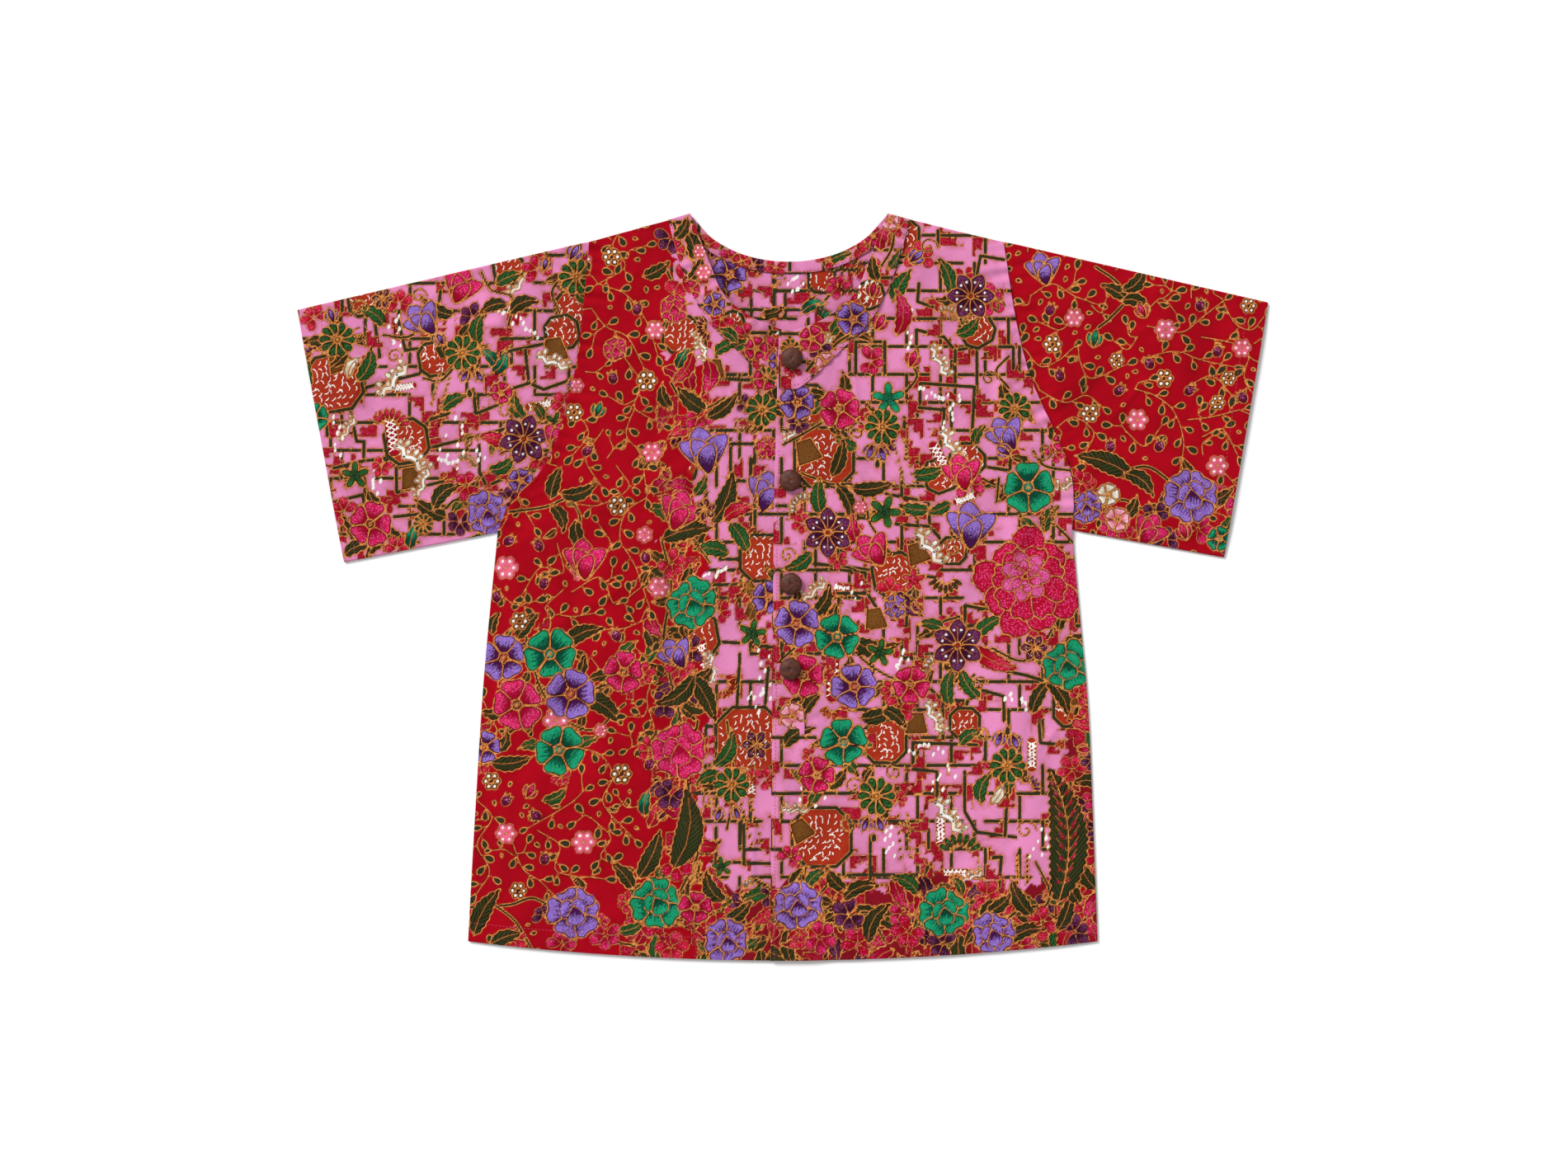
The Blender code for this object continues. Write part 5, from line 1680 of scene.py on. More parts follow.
        ("thistle", (220, 228, 6, 60), (228, 174, 6, 100), (277, 162, 6, 40), (270, 116, 6, 90),
         (302, 184, 6, 130), (358, 194, 6, 70), (335, 162, 6, 40), (379, 156, 6, 110), (310, 116, 6, 60),
         (344, 232, 6, 80), (388, 120, 6, 100)),
        ("rose purple", (336, 76, 21), (250, 66, 13)),
        ("blossom cream", (268, 76, 9)),
        ("blossom berry", (276, 56, 10)),
        ("tulip magenta", (302, 46, 10, 60)),
        ("blossom emerald", (360, 40, 10)),
        ("tulip magenta", (330, 46, 9, 110), (296, 228, 8, 120)),
        ("blossom magenta", (376, 66, 11, 10)),
    ],
    "neckband_left": [
        ("ragged", (-60, 240, 7), (-20, 182, 8)),
        ("patch", (-42, 214, 8, 20), (-4, 200, 7)),
        ("bunch", (-30, 206, 11), (-8, 196, 11), (-50, 220, 10), (4, 178, 9)),
        ("leaf leaf", (-78, 282, 11, 110), (-72, 262, 9, 60), (-84, 296, 9, 60)),
        ("leaf green", (-34, 196, 9, 20), (-46, 206, 8, 150)),
        ("rose red", (-92, 276, 11)),
        ("berry", (-68, 276, 6), (-65, 258, 7)),
        ("blossom purple", (-56, 232, 9)),
        ("blossom magenta", (-22, 196, 9), (-76, 244, 8, 10)),
        ("tulip orange", (-36, 186, 7, 160)),
        ("blossom purple", (-4, 186, 8)),
        ("curl", (-60, 206, 6)),
        ("dots", (-40, 190, 8, -40)),
        ("daisy green", (-14, 172, 9)),
    ],
    "neckband_right": [
        ("ragged", (84, 288, 8), (16, 196, 8)),
        ("patch", (72, 240, 8, 20)),
        ("lace", (40, 204, 8, 40)),
        ("bunch", (72, 262, 10), (30, 198, 10), (8, 180, 8), (96, 296, 8)),
        ("leaf magenta", (84, 288, 10, 70)),
        ("leaf leaf", (76, 262, 9, 100)),
        ("leaf green", (48, 214, 9, 40), (92, 270, 8, 60)),
        ("blossom purple", (58, 220, 13)),
        ("blossom magenta", (24, 204, 10)),
        ("blossom berry", (36, 184, 9, 20), (88, 302, 8)),
        ("tulip magenta", (74, 244, 8, 80)),
        ("dots", (66, 246, 9, 60)),
        ("daisy green", (6, 196, 8)),
    ],
    "back_inside": [
        ("ragged", (-25, 262, 8), (-30, 244, 8), (58, 276, 8)),
        ("patch", (32, 254, 8)),
        ("bunch", (46, 248, 10), (-60, 220, 10)),
        ("lace", (62, 276, 7, 40)),
        ("leaf leaf", (-8, 228, 8, 20)),
        ("leaf emerald", (26, 230, 9, 20), (36, 226, 8, -40)),
        ("blossom purple", (-44, 258, 14)),
        ("tulip purple", (-56, 278, 9, 60)),
        ("dots", (12, 252, 9, 80)),
        ("curl", (-4, 252, 7)),
        ("blossom magenta", (54, 226, 9)),
    ],
    "back_neck_binding": [
        ("bunch", (-62, 282, 10), (-44, 270, 10), (-24, 266, 10), (-6, 264, 9), (36, 270, 9),
         (60, 280, 10)),
        ("blossom red", (-34, 268, 8)),
        ("leaf green", (48, 272, 8, 20)),
        ("blossom magenta", (74, 290, 8)),
        ("leaf leaf", (-70, 288, 8, 120)),
    ],
}


KINDS = {
    make.__name__: make
    for make in (
        blossom, daisy, lily, rose, peony, tulip, leaf, star_leaf, feather, frond, bud, dot_flower, berry,
        thistle, ragged, patch, vase, lace, trellis, fan, curl, sprig, dots, bunch, twig, sprout,
    )
}
UNDER_STEMS = ("ragged", "patch", "vase", "trellis", "lace", "fan", "dots")
# Flowers from this size on have dark leaves and scraps round them
LARGE = ("blossom", "rose", "lily", "daisy", "peony")
LARGE_FROM = 12.5
COMPANY = 4
# How much larger motifs are than their rows say
GROWTH = {"patch": 1.35, "lace": 1.3, "trellis": 1.3, "vase": 1.2}
LEAF_GROWTH, LEAF_GROWN_FROM = 1.3, 7
CUP_GROWTH, CUP_GROWN_FROM = 1.5, 9.5
RAGGED_SHARE = 0.3

# Borders crowded with leaves, petals and scraps
BED_KINDS = ["leaf", "leaf", "leaf", "leaf", "bunch", "ragged", "tulip"]
BED_GROWTH = {"leaf": 1.3, "tulip": 0.6}
BED_TONES = ["leaf", "leaf", "green", "magenta", "red", "plum"]
HEM_GROUND = (128, 14, 30)
BED_SEED = 11

# What is strewn over plain ground: (size, share of the empty places, kinds) for each ground
FILLS = {
    "pink": [(9.0, 0.3, ["twig", "leaf", "ragged", "bunch"])],
    "red": [(8.5, 0.6, ["sprout"]), (5.0, 0.2, ["bud"])],
}
FILL_SEED = 3
# Flowers between the vines: spacing, size, share of the empty places, kinds and seed
VINE_FLOWERS = (16.0, 11.0, 0.5, ["berry", "dot_flower"], 4)
VINE_FLOWER_SHRINK = 0.7
TENDRIL_SEED = 6
TENDRIL_REACH = (8.0, 22.0)
TENDRIL_BEND = 5.0
# Clear space round the tip, and the spots that are tried
TENDRIL_STEPS = [(9.0, 1500), (7.0, 2500)]

# The outer face of the back, by rule
STREWN_GAP = 46.0
STREWN_FLOWERS = [
    # kind, size, tone
    ("blossom", 19, "purple"), ("blossom", 19, "emerald"), ("rose", 20, "magenta"),
    ("blossom", 18, "magenta"), ("rose", 20, "purple"), ("lily", 20, "plum"), ("daisy", 15, "green"),
    ("tulip", 12, "purple"), ("rose", 20, "emerald"), ("star_leaf", 14, "green"),
]
STREWN_SMALL = ["ragged", "patch", "leaf", "lace", "fan", "dots", "bunch", "curl", "trellis", "leaf"]


def along_hem(x, y):
    """The border of flowers along the hem of the fronts."""
    return (x > -128) & (y < -244 + 7 * np.sin(0.06 * x) + 2 * np.sin(0.5 * x))


def beside_red(x, y):
    """The column of leaves and flowers between the red field and the pink one."""
    wave = 8 * np.sin(0.05 * y) + 2 * np.sin(0.5 * y)
    return (x > -108 + wave / 2) & (x < -68 + wave) & (y < 188 + 6 * np.sin(0.2 * x))


def at_side_seam(x, y):
    """The right front near its side seam."""
    return (x > 236 + 6 * np.sin(0.05 * y) + 2 * np.sin(0.5 * y)) & (y < -70)


BEDS = {
    # piece: (where, ground, spacing, size of each motif) in millimetres
    "front_left": [(along_hem, HEM_GROUND, 14.0, 11.5), (beside_red, COLOURS["red"], 15.0, 10.5)],
    "front_right": [(along_hem, HEM_GROUND, 14.0, 11.5), (at_side_seam, HEM_GROUND, 12.5, 10.5)],
}


def strewn_spots(cloth, gap, loose, draw):
    """Places on a square net over the panel, each drawn up to the share loose of the gap aside."""
    for x in np.arange(cloth.x.min(), cloth.x.max(), gap):
        for y in np.arange(cloth.y.min(), cloth.y.max(), gap):
            yield x + draw.uniform(-loose, loose) * gap, y + draw.uniform(-loose, loose) * gap


def bed(cloth, inside, ground, gap, size):
    """Leaves, petals and scraps close together where inside(x, y) holds."""
    draw = np.random.default_rng(BED_SEED)
    cloth.area(np.arange(len(cloth.x)), np.where(inside(cloth.x, cloth.y), -FAR, FAR), linear(ground), line=0)
    for x, y in strewn_spots(cloth, gap, 0.5, draw):
        kind, tone, turn = draw.choice(BED_KINDS), draw.choice(BED_TONES), draw.uniform(0, 360)
        grown = size * draw.uniform(0.8, 1.2) * BED_GROWTH.get(kind, 1.0)
        if inside(x, y):
            KINDS[kind](cloth, x, y, grown, turn, tone)


def add_motif(cloth, kind, x, y, size, turn, tone):
    """A motif of the tables, grown where its kind is."""
    growth = GROWTH.get(kind, 1.0)
    if kind == "leaf" and size > LEAF_GROWN_FROM:
        growth = LEAF_GROWTH
    if kind == "tulip" and size > CUP_GROWN_FROM:
        growth = CUP_GROWTH
    KINDS[kind](cloth, x, y, growth * size, turn, tone)


def company(cloth, x, y, size):
    """Dark leaves, drops and scraps of crimson that fill the space round a large flower."""
    draw = seeded(x, y)
    for k in range(COMPANY):
        way = 360 * k / COMPANY + draw.uniform(-25, 25)
        place = around(x, y, size * draw.uniform(1.0, 1.25), way)
        picked = draw.choice(["leaf", "leaf", "leaf", "bunch", "scrap"])
        if picked == "leaf":
            long, turn = draw.uniform(8, 13), way + draw.uniform(-60, 60)
            leaf(cloth, *place, long, turn, draw.choice(["leaf", "leaf", "green"]))
        elif picked == "bunch":
            bunch(cloth, *place, draw.uniform(7, 10), way, "")
        else:
            ragged(cloth, *place, draw.uniform(5, 8), way, "")


def scraps(cloth, knots):
    """Crimson scraps that hang on the corners of the lattice."""
    draw = seeded(*knots[0])
    for start, end in zip(knots, [*knots[1:], knots[-1]]):
        for share in (0.0, 0.5):
            if draw.uniform() < RAGGED_SHARE:
                x = start[0] + share * (end[0] - start[0]) + draw.uniform(-5, 5)
                y = start[1] + share * (end[1] - start[1]) + draw.uniform(-5, 5)
                ragged(cloth, x, y, draw.uniform(6, 10.5), draw.uniform(0, 90), "")


def empty_at(cloth, x, y, size, ground):
    """Whether a round place shows nothing but the ground."""
    at = cloth.near(x, y, size)
    if not len(at):
        return False
    clear = cloth.lines["wax"][1][at].min() > 0.4
    return clear and np.abs(cloth.fill[at] - linear(COLOURS[ground])).max() < 0.01


def fill_gaps(cloth, ground, gap, size, share, kinds, seed):
    """Small motifs by rule in places that would show plain ground."""
    draw = np.random.default_rng(seed)
    for x, y in strewn_spots(cloth, gap, 0.4, draw):
        kind, turn, kept = draw.choice(kinds), draw.uniform(0, 180), draw.uniform() < share
        if kept and empty_at(cloth, x, y, size * 0.8, ground):
            shrink = VINE_FLOWER_SHRINK if kind in VINE_FLOWERS[3] else 1.0
            KINDS[kind](cloth, x, y, shrink * size * draw.uniform(0.8, 1.15), turn, "leaf")


def tendrils(cloth, vines, ground):
    """Side shoots that branch off the vines wherever plain ground is left."""
    draw = np.random.default_rng(TENDRIL_SEED)
    roots = np.vstack([resample(spline(knots, KNOT_STEPS), 8) for knots in vines])
    low, high = (cloth.x.min(), cloth.y.min()), (cloth.x.max(), cloth.y.max())
    for clear, tries in TENDRIL_STEPS:
        for spot in draw.uniform(low, high, (tries, 2)):
            gaps = np.hypot(*(roots - spot).T)
            root = roots[gaps.argmin()]
            beyond = not TENDRIL_REACH[0] < gaps.min() < TENDRIL_REACH[1]
            if beyond or not empty_at(cloth, *spot, clear, ground):
                continue
            beside = np.array([root[1] - spot[1], spot[0] - root[0]]) / gaps.min()
            middle = (root + spot) / 2 + draw.choice([-1, 1]) * draw.uniform(0.4, 1.0) * TENDRIL_BEND * beside
            if empty_at(cloth, *middle, 1.6, ground):
                vine(cloth, [tuple(root), tuple(middle), tuple(spot)])
                roots = np.vstack([roots, middle, spot])


def placed_layout(piece):
    """The lattice, vines, stems and motifs that the tables give a panel."""
    lines = [[np.reshape(row, (-1, 2)) for row in table.get(piece, [])] for table in (LATTICE, VINES, STEMS)]
    motifs = []
    for name, *rows in MOTIFS.get(piece, []):
        kind, _, tone = name.partition(" ")
        motifs += [(kind, *row[:3], row[3] if len(row) > 3 else 0, tone) for row in rows]
    return *lines, motifs


def strewn_layout(low, high, seed):
    """A layout by rule for the side that the photograph doesn't show, with the same flowers and lattice."""
    draw = np.random.default_rng(seed)
    strips, stems, motifs = [], [], []
    columns, rows = ((high - low) / STREWN_GAP).astype(int) + 1
    for row in range(rows):
        for column in range(columns):
            x = low[0] + (column + 0.5 * (row % 2)) * STREWN_GAP + draw.uniform(-6, 6)
            y = low[1] + row * STREWN_GAP + draw.uniform(-6, 6)
            picked = column * 3 + row * 7 + int(draw.integers(3))
            kind, size, tone = STREWN_FLOWERS[picked % len(STREWN_FLOWERS)]
            motifs.append((kind, x, y, size, draw.uniform(0, 90), tone))
            for k in range(3):
                small = STREWN_SMALL[int(draw.integers(len(STREWN_SMALL)))]
                spot = around(x, y, draw.uniform(22, 30), 120 * k + draw.uniform(0, 80))
                motifs.append((small, *spot, draw.uniform(8, 13), draw.uniform(0, 180), "leaf"))
            side = draw.uniform(18, 26)
            strips.append([(x - side, y + side), (x + side, y + side), (x + side, y - 4)])
            stems.append([(x, y), around(x, y, 22, draw.uniform(0, 360))])
    motifs.sort(key=lambda motif: motif[0] in LARGE)
    return strips, [], stems, motifs


def apply_layout(cloth, layout, beds=()):
    """Prints one panel: the lattice first, then what lies under the stems, and the flowers last."""
    strips, vines, stems, motifs = layout
    for knots in strips:
        scraps(cloth, knots)
    for knots in strips:
        lattice(cloth, knots)
    for motif in motifs:
        if motif[0] in UNDER_STEMS:
            add_motif(cloth, *motif)
    for rows in beds:
        bed(cloth, *rows)
    for knots in vines:
        vine(cloth, knots)
    for kind, x, y, size, turn, tone in motifs:
        if kind in LARGE and size >= LARGE_FROM:
            company(cloth, x, y, size)
    for knots in stems:
        stem(cloth, knots)
    for motif in motifs:
        if motif[0] not in UNDER_STEMS:
            add_motif(cloth, *motif)
    if vines:
        fill_gaps(cloth, "red", *VINE_FLOWERS)
        tendrils(cloth, vines, "red")
    for ground, steps in FILLS.items():
        for size, share, kinds in steps:
            fill_gaps(cloth, ground, 0.9 * size, size, share, kinds, FILL_SEED)


def red_beside(cloth, knots):
    """Red ground to the left of a line, with a ragged edge."""
    line = spline(knots[::-1], CURVE_POINTS)
    edge = np.interp(cloth.y, line[:, 1], line[:, 0])
    edge = edge + 2.5 * np.sin(cloth.y * 0.45) + 1.5 * np.sin(cloth.y * 1.1)
    everywhere = np.arange(len(cloth.x))
    cloth.area(everywhere, np.where(cloth.x < edge, -FAR, FAR), linear(COLOURS["red"]), line=0)


def print_on(made, cloth):
    """Stores a print in the points of a mesh."""
    attributes = made.data.attributes
    dye = np.column_stack([cloth.fill, np.ones(len(cloth.x))])
    for name, values in (("dye", dye), ("speck", cloth.speck)):
        field = attributes.new(name, "FLOAT_COLOR", "POINT")
        field.data.foreach_set("color", values.astype(np.float32).ravel())
    scalars = {"soot": cloth.dark}
    for name, (across, beside) in cloth.lines.items():
        scalars[name], scalars[name + "_edge"] = across, beside
    for name, values in scalars.items():
        field = attributes.new(name, "FLOAT", "POINT")
        field.data.foreach_set("value", values.astype(np.float32))


# Sewing and buttons, in millimetres
STITCH_GAP = 3.0
STITCH_LENGTH = 2.2
STITCH_HALF = 0.22
STITCH_LIFT = 0.12
STITCH_RINGS = [
    # share of the length, share of the thickness, share of the lift
    (-0.5, 0.15, -1.6), (-0.34, 0.8, -0.2), (-0.1, 1.0, 0.8), (0.1, 1.0, 0.8), (0.34, 0.8, -0.2),
    (0.5, 0.15, -1.6),
]
STITCH_SIDES = 6
HEM_STITCH_ROW = 11
CUFF_STITCH_COLUMN = 13
EDGE_STITCH_COLUMN = 2
BAND_STITCH_COLUMN = 2
BINDING_STITCH_ROW = 1
BUTTON_TURNS = 64
DOME_ROWS = 8
DOME_STEPS = 28
RIM_PLEATS = 17
RIM_PLEAT_HEIGHT = 0.1
RIM_FROM = 6.5
LEATHER_LUMPS = 0.07


def ring_faces(rings, sides):
    """Faces between rings that close on themselves, each ring with the same number of points."""
    faces = []
    for ring in range(rings - 1):
        for side in range(sides):
            other = (side + 1) % sides
            low, high = ring * sides, (ring + 1) * sides
            faces.append((low + side, low + other, high + other, high + side))
    return faces


def mesh_object(name, points, faces):
    """A smooth mesh object from points in millimetres."""
    mesh = bpy.data.meshes.new(name)
    mesh.from_pydata([tuple(p) for p in np.asarray(points) * MM], [], faces)
    mesh.shade_smooth()
    made = bpy.data.objects.new(name, mesh)
    bpy.context.scene.collection.objects.link(made)
    return made


def stitches(name, lines):
    """Short rounded threads in rows along lines of points on the cloth, as one piece."""
    turns = np.linspace(0, 2 * math.pi, STITCH_SIDES, endpoint=False)
    sides = np.stack([np.cos(turns), np.sin(turns)], axis=1)
    pattern = ring_faces(len(STITCH_RINGS), STITCH_SIDES)
    last = (len(STITCH_RINGS) - 1) * STITCH_SIDES
    caps = [tuple(range(STITCH_SIDES))[::-1], tuple(range(last, last + STITCH_SIDES))]
    points, faces = [], []
    for line in lines:
        length = np.linalg.norm(np.diff(line, axis=0), axis=1).sum()
        places = resample(line, int(length / STITCH_GAP) + 1)
        for here, there in zip(places[:-1], places[1:]):
            run = (there - here) / np.linalg.norm(there - here)
            across = np.cross(UP, run)
            across /= np.linalg.norm(across)
            rise = np.cross(run, across)
            start = len(points)
            for along, thick, lift in STITCH_RINGS:
                middle = (here + there) / 2 + along * STITCH_LENGTH * run + lift * STITCH_LIFT * rise
                for side in sides:
                    points.append(middle + STITCH_HALF * thick * (side[0] * across + side[1] * rise))
            faces += [tuple(start + i for i in face) for face in pattern + caps]
    return mesh_object(name, points, faces)


def make_button(index):
    """A leather covered button: the solid's profile, smoother, with small pleats round its rim."""
    x, y = BUTTONS[index - 1]
    solid_button = bpy.data.objects[f"button_{index}"]
    foot = min((solid_button.matrix_world @ vertex.co).z for vertex in solid_button.data.vertices) / MM
    dome = spline(BUTTON_PROFILE[:DOME_ROWS], DOME_STEPS)
    profile = np.vstack([dome, BUTTON_PROFILE[DOME_ROWS:]])
    turns = np.linspace(0, 2 * math.pi, BUTTON_TURNS, endpoint=False)
    rings = []
    for across, height in profile:
        rim = smooth_step((across - RIM_FROM) / 2)
        pleat = RIM_PLEAT_HEIGHT * rim * np.sin(RIM_PLEATS * turns + index)
        waves = np.sin(3 * turns + 2 * index) + np.sin(5 * turns + 0.9 * across)
        lump = LEATHER_LUMPS * waves * min(across / 3, 1)
        top = lump if height > BUTTON_PROFILE[DOME_ROWS][1] else 0 * lump
        away = across + pleat * (across > 0)
        places = [x + away * np.cos(turns), y + away * np.sin(turns), foot + height + top]
        rings.append(np.stack(places, axis=1))
    return mesh_object(f"button_{index}_leather", np.vstack(rings), ring_faces(len(rings), BUTTON_TURNS))


# The cloth's material. The stored field of a line is 1 at its edges, which wobble and bleed
LINE_SOFTNESS = 0.3
LINE_WOBBLE = 0.6
LINE_REACH = (0.62, 0.4)
BLEED_REACH = 1.3
BLEED_SHARE = 0.3
BLEED_COLOUR = (150, 62, 40)
WAX_LIGHT = (218, 147, 76)
WAX_DARK = (168, 97, 46)
RIM_AT = (-3.2, -2.4, -1.0, -0.7)
RIM_REACH = (1.7, 1.2)
RIM_TINT = (0.34, 0.22, 0.2, 1.0)
WASH_REACH = 5.5
WASH_SHARE = 0.6
WASH_TINT = (0.76, 0.6, 0.42, 1.0)
DARK_LINE = (50, 46, 28)
WHITE_LINE = (240, 236, 228)
BROAD_TONE = (0.86, 0.96)
GRAIN_TONE = (0.93, 1.05)
# Scales of the noise, the specks and the weave
FINE_SCALE = 420.0
BROAD_SCALE = 16.0
GRAIN_SCALE = 1500.0
BLOTCH_SCALE = 75.0
SOFT_SCALE = 70.0
SPECK_SCALE = 640.0
WEAVE_SCALE = 520.0
# Strength and distance of each bump
SOFT_BUMP, WEAVE_BUMP = (0.5, 0.0008), (0.25, 0.0001)
LUMP_BUMP, PORE_BUMP = (0.5, 0.0004), (0.4, 0.0002)
CLOTH_FINISH = {"Roughness": 0.85, "Specular IOR Level": 0.05, "Sheen Weight": 0.02, "Sheen Roughness": 0.5}
LEATHER_FINISH = {"Roughness": 0.6, "Specular IOR Level": 0.3}
LEATHER_SCALE = 260.0
PORE_SCALE = 900.0
THREAD_SCALE = 2400.0
LEATHER_DARK, LEATHER_LIGHT, PORE_COLOUR = (62, 28, 18), (90, 45, 29), (42, 20, 13)
THREAD_DARK, THREAD_LIGHT = (150, 30, 62), (194, 78, 116)


class Nodes:
    """A material whose nodes are added one by one. An input is a value, or (node, output) to link."""

    def __init__(self, name):
        self.material = bpy.data.materials.new(name)
        self.material.use_nodes = True
        self.tree = self.material.node_tree
        self.shader = self.tree.nodes["Principled BSDF"]
        self.place = (self.add("TexCoord"), "Object")

    def put(self, node, inputs):
        for key, value in inputs.items():
            if isinstance(value, tuple) and len(value) == 2 and hasattr(value[0], "outputs"):
                self.tree.links.new(value[0].outputs[value[1]], node.inputs[key])
            else:
                node.inputs[key].default_value = value
        return node

    def add(self, kind, inputs=None, **settings):
        node = self.tree.nodes.new("ShaderNode" + kind)
        for key, value in settings.items():
            setattr(node, key, value)
        return self.put(node, inputs or {})

    def noise(self, scale, detail):
        return (self.add("TexNoise", {"Vector": self.place, "Scale": scale, "Detail": detail}), 0)

    def cells(self, scale):
        return (self.add("TexVoronoi", {"Vector": self.place, "Scale": scale}), "Distance")

    def field(self, name):
        """A number that is stored in the points of the mesh."""
        return (self.add("Attribute", attribute_name=name), "Fac")

    def ramp(self, value, start, end, low=0.0, high=1.0):
        """A smooth turn from low to high as value goes from start to end."""
        inputs = {"Value": value, "From Min": start, "From Max": end, "To Min": low, "To Max": high}
        return (self.add("MapRange", inputs, interpolation_type="SMOOTHSTEP"), "Result")

    def sum(self, a, b, operation="ADD"):
        return (self.add("Math", {0: a, 1: b}, operation=operation), 0)

    def times(self, a, b):
        return self.sum(a, b, "MULTIPLY")

    def mix(self, share, a, b, blend="MIX"):
        return (self.add("Mix", {0: share, 6: a, 7: b}, data_type="RGBA", blend_type=blend), 2)

    def bump(self, strength, distance, height, **below):
        inputs = {"Strength": strength, "Distance": distance, "Height": height, **below}
        return (self.add("Bump", inputs), 0)


def solid(colour):
    return (*linear(colour), 1.0)


def cloth_material(name):
    """Printed cotton. The print comes from the sheet's points, and the nodes make its lines crisp."""
    nodes = Nodes(name)
    fine, broad = nodes.noise(FINE_SCALE, 2.0), nodes.noise(BROAD_SCALE, 3.0)
    grain = nodes.noise(GRAIN_SCALE, 1.0)
    wobble = nodes.times(nodes.sum(fine, 0.5, "SUBTRACT"), LINE_WOBBLE)
    masks = {"soot": nodes.ramp(nodes.field("soot"), LINE_SOFTNESS, -LINE_SOFTNESS)}
    for kind in ("wax", "white"):
        away = nodes.sum(nodes.sum(nodes.field(kind), 0.0, "ABSOLUTE"), wobble)
        on_line = nodes.ramp(away, 1 + LINE_SOFTNESS, 1 - LINE_SOFTNESS)
        masks[kind] = nodes.times(on_line, nodes.ramp(nodes.field(kind + "_edge"), *LINE_REACH))
    wax_edge = nodes.field("wax_edge")

    # The dye with its specks, stained beside the lines and dark where it stopped short of them
    speck = nodes.add("Attribute", attribute_name="speck")
    spotted = nodes.times(nodes.ramp(nodes.cells(SPECK_SCALE), 0.46, 0.26), (speck, "Alpha"))
    dye = (nodes.add("Attribute", attribute_name="dye"), "Color")
    colour = nodes.mix(spotted, dye, (speck, "Color"))
    blotch = nodes.ramp(nodes.noise(BLOTCH_SCALE, 3.0), 0.42, 0.6)
    wash = nodes.times(nodes.ramp(wax_edge, 0.0, WASH_REACH, WASH_SHARE, 0.0), blotch)
    colour = nodes.mix(wash, colour, WASH_TINT, "MULTIPLY")
    bleed = nodes.ramp(nodes.sum(wax_edge, wobble), -0.2, BLEED_REACH, BLEED_SHARE, 0.0)
    colour = nodes.mix(bleed, colour, solid(BLEED_COLOUR))
    across = nodes.sum(nodes.field("wax"), wobble)
    rim = nodes.times(nodes.ramp(across, *RIM_AT[:2]), nodes.ramp(across, *RIM_AT[2:], 1.0, 0.0))
    rim = nodes.times(rim, nodes.ramp(wax_edge, *RIM_REACH))
    colour = nodes.mix(rim, colour, RIM_TINT, "MULTIPLY")

    # The lines, and the unevenness of the cotton over all of it
    colour = nodes.mix(masks["soot"], colour, solid(DARK_LINE))
    wax = nodes.mix(nodes.ramp(fine, 0.35, 0.65), solid(WAX_DARK), solid(WAX_LIGHT))
    colour = nodes.mix(masks["wax"], colour, wax)
    colour = nodes.mix(masks["white"], colour, solid(WHITE_LINE))
    shade = nodes.times(nodes.ramp(broad, 0.3, 0.7, *BROAD_TONE), nodes.ramp(grain, 0.25, 0.75, *GRAIN_TONE))
    grey = (nodes.add("CombineColor", {0: shade, 1: shade, 2: shade}), 0)
    colour = nodes.mix(1.0, colour, grey, "MULTIPLY")

    threads = {"Vector": nodes.place, "Scale": WEAVE_SCALE, "Distortion": 1.0}
    warp, weft = [(nodes.add("TexWave", threads, bands_direction=way), "Fac") for way in ("X", "Y")]
    low = nodes.bump(*SOFT_BUMP, nodes.noise(SOFT_SCALE, 3.0))
    high = nodes.bump(*WEAVE_BUMP, nodes.sum(nodes.sum(warp, weft), grain), Normal=low)
    nodes.put(nodes.shader, {"Base Color": colour, "Normal": high, **CLOTH_FINISH})
    return nodes.material


def button_material():
    """Brown leather over a domed form, darker in its grain."""
    nodes = Nodes("button_leather")
    blotch, pores = nodes.noise(LEATHER_SCALE, 4.0), nodes.cells(PORE_SCALE)
    tone = nodes.mix(nodes.ramp(blotch, 0.3, 0.7), solid(LEATHER_DARK), solid(LEATHER_LIGHT))
    tone = nodes.mix(nodes.ramp(pores, 0.35, 0.05, 0.0, 0.45), tone, solid(PORE_COLOUR))
    grain = nodes.bump(*PORE_BUMP, pores, Normal=nodes.bump(*LUMP_BUMP, blotch))
    nodes.put(nodes.shader, {"Base Color": tone, "Normal": grain, **LEATHER_FINISH})
    return nodes.material


def thread_material():
    """Dull pink sewing cotton."""
    nodes = Nodes("sewing_thread")
    tone = nodes.mix(nodes.noise(THREAD_SCALE, 1.0), solid(THREAD_DARK), solid(THREAD_LIGHT))
    nodes.put(nodes.shader, {"Base Color": tone, "Roughness": 0.7})
    return nodes.material


# Light and camera. The camera looks straight down, as in the photograph
CAMERA_PLACE = (0.001, -0.0007, 1.798)
LENS = 50.0
SENSOR = 36.0
FLOOR_SIZE = 8.0
FLOOR_DROP = 0.0004
FLOOR_WHITE = 0.93
FLOOR_ROUGHNESS = 0.9
SKY_STRENGTH = 0.55
SUN_STRENGTH = 3.2
SUN_ANGLE = 24.0
SUN_TURN = (51.0, 0.0, 222.0)


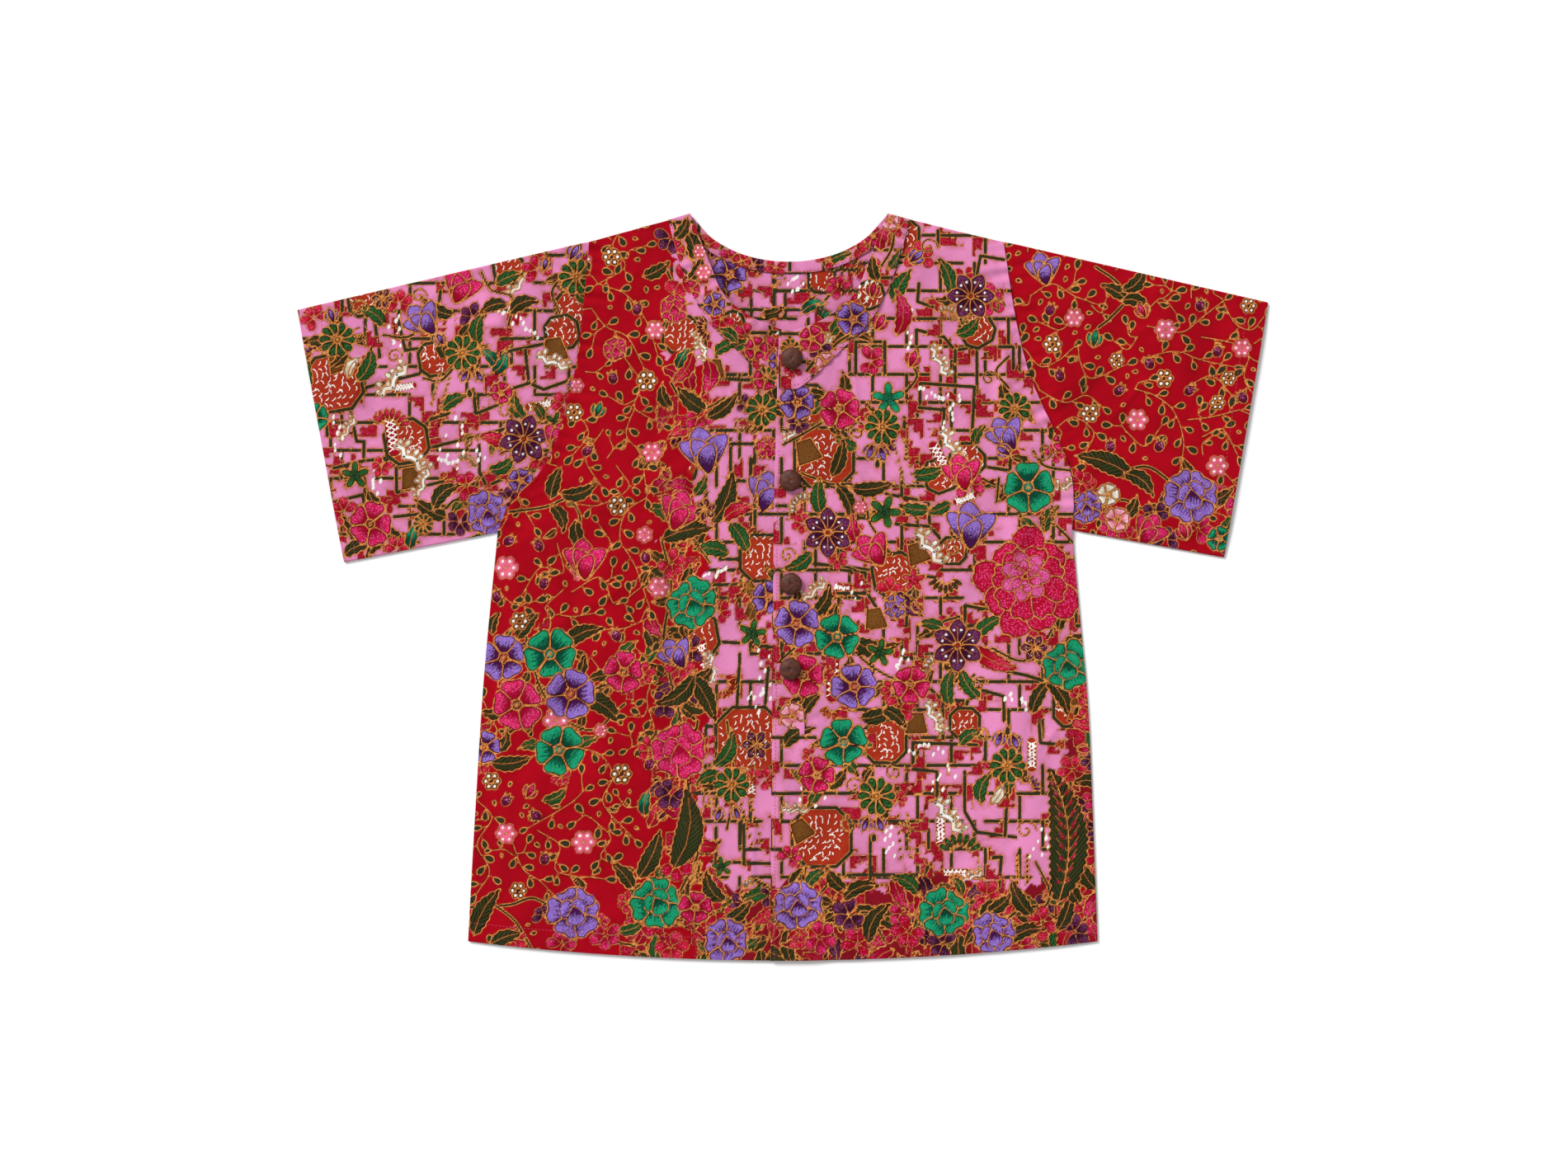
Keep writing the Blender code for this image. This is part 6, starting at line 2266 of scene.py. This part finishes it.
def make_stage():
    """The pale floor, the soft light and the camera."""
    mesh = bpy.data.meshes.new("floor")
    half = FLOOR_SIZE / 2
    corners = [(-half, -half), (half, -half), (half, half), (-half, half)]
    mesh.from_pydata([(x, y, -FLOOR_DROP) for x, y in corners], [], [(0, 1, 2, 3)])
    floor = bpy.data.objects.new("floor", mesh)
    bpy.context.scene.collection.objects.link(floor)
    paper = bpy.data.materials.new("pale_floor")
    paper.use_nodes = True
    shader = paper.node_tree.nodes["Principled BSDF"]
    shader.inputs["Base Color"].default_value = (FLOOR_WHITE, FLOOR_WHITE, FLOOR_WHITE, 1.0)
    shader.inputs["Roughness"].default_value = FLOOR_ROUGHNESS
    mesh.materials.append(paper)
    world = bpy.data.worlds.new("studio")
    world.use_nodes = True
    sky = world.node_tree.nodes["Background"]
    sky.inputs["Color"].default_value = (1.0, 1.0, 1.0, 1.0)
    sky.inputs["Strength"].default_value = SKY_STRENGTH
    bpy.context.scene.world = world
    sun = bpy.data.lights.new("window_light", "SUN")
    sun.energy = SUN_STRENGTH
    sun.angle = math.radians(SUN_ANGLE)
    sun_object = bpy.data.objects.new("window_light", sun)
    sun_object.rotation_euler = [math.radians(a) for a in SUN_TURN]
    bpy.context.scene.collection.objects.link(sun_object)
    camera = bpy.data.cameras.new("camera")
    camera.lens, camera.sensor_width = LENS, SENSOR
    eye = bpy.data.objects.new("camera", camera)
    eye.location = CAMERA_PLACE
    bpy.context.scene.collection.objects.link(eye)
    bpy.context.scene.camera = eye
    bpy.context.scene.view_settings.view_transform = "Standard"


# The cut pieces: flat width and length in metres, and the cut's flat area in square metres
CUTS = {
    # piece: (width, length, area)
    "front_left": (0.285, 0.605, 0.138),
    "front_right": (0.285, 0.605, 0.138),
    "back": (0.525, 0.605, 0.262),
    "neckband_left": (0.115, 0.160, 0.0075),
    "neckband_right": (0.115, 0.160, 0.0075),
    "sleeve_left": (0.520, 0.250, 0.100),
    "sleeve_right": (0.520, 0.250, 0.090),
    "back_neck_binding": (0.175, 0.024, 0.0038),
}
# What each piece rests on
RESTS = {
    "back": "floor",
    "back_neck_binding": "back_cloth",
    "front_left": "back_cloth",
    "front_right": "front_left_cloth",
    "neckband_left": "front_left_cloth",
    "neckband_right": "front_right_cloth",
    "sleeve_left": "floor",
    "sleeve_right": "floor",
}
# Pieces that take the red finish
RED_FINISH = ("front_left", "sleeve_right")
BACK_SEED = 5
FRET_SEED = 8
# Lines on the coarser back are this much wider, in millimetres
BACK_WIDER = 0.35


def declare(made, node, rests_on, with_pieces=()):
    """Hangs a cloth piece on the frame in place of its solid."""
    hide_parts(node)
    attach(made, "root")
    width, length, area = CUTS[node]
    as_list(rests_on)
    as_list(with_pieces)


def dress(node, piece, points, finish, wider=0.0):
    """Prints a cloth piece and gives it its material."""
    plan = points[..., :2]
    ground = "red" if node == "sleeve_right" else "pink"
    cloth = Print(plan, ground, wider)
    if node == "back":
        low, high = plan.reshape(-1, 2).min(0), plan.reshape(-1, 2).max(0)
        layout = strewn_layout(low, high, BACK_SEED)
    else:
        layout = placed_layout(node)
    if ground == "pink":
        fret(cloth, FRET_SEED)
    if node == "front_left":
        red_beside(cloth, FRONT_LEFT_RED_EDGE)
    apply_layout(cloth, layout, BEDS.get(node, []))
    print_on(piece, cloth)
    piece.data.materials.append(finish)


def sew(name, lines, thread):
    """Adds rows of stitches that lie on the cloth."""
    rows = stitches(name, lines)
    rows.data.materials.append(thread)
    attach(rows, "root")
    return rows


def sew_on_button(index, leather):
    """A button in place of its solid."""
    button = make_button(index)
    button.data.materials.append(leather)
    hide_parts(f"button_{index}")
    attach(button, "root")
    return button


def main():
    finishes = {name: cloth_material(name + "_print") for name in ("pink_batik", "red_batik")}
    thread = thread_material()
    leather = button_material()
    buttons = [sew_on_button(index, leather) for index in range(1, len(BUTTONS) + 1)]
    made, with_piece = {}, {}
    for side in ("left", "right"):
        front, band, sleeve = front_surface(side), neckband_surface(side), sleeve_surface(side)
        made[f"front_{side}"] = make_front(side, front)
        made[f"neckband_{side}"] = make_neckband(side, band)
        made[f"sleeve_{side}"] = make_sleeve(side, sleeve)
        sewn = [front[HEM_STITCH_ROW]]
        if side == "right":
            sewn.append(front[:-FRONT_ARMHOLE_ROWS, EDGE_STITCH_COLUMN])
        band_rows, cuff_rows = [band[:, -1 - BAND_STITCH_COLUMN]], [sleeve[:, -1 - CUFF_STITCH_COLUMN]]
        rows = {"front": sewn, "neckband": band_rows, "sleeve": cuff_rows}
        for part, lines in rows.items():
            with_piece[f"{part}_{side}"] = [sew(f"{part}_{side}_stitches", lines, thread)]
    made["back"] = make_back()
    binding = binding_surface()
    made["back_neck_binding"] = make_binding(binding)
    binding_rows = [binding[BINDING_STITCH_ROW]]
    with_piece["back_neck_binding"] = [sew("back_neck_binding_stitches", binding_rows, thread)]
    with_piece["neckband_right"].append(buttons[0])
    with_piece["front_right"] += buttons[1:]
    inside, points = make_back_inside()
    dress("back_inside", inside, points, finishes["pink_batik"])
    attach(inside, "root")
    with_piece["back"] = [inside]
    for node, (piece, points) in made.items():
        slot = "red_batik" if node in RED_FINISH else "pink_batik"
        dress(node, piece, points, finishes[slot], BACK_WIDER if node == "back" else 0.0)
        declare(piece, node, RESTS[node], with_piece[node])
    make_stage()


main()
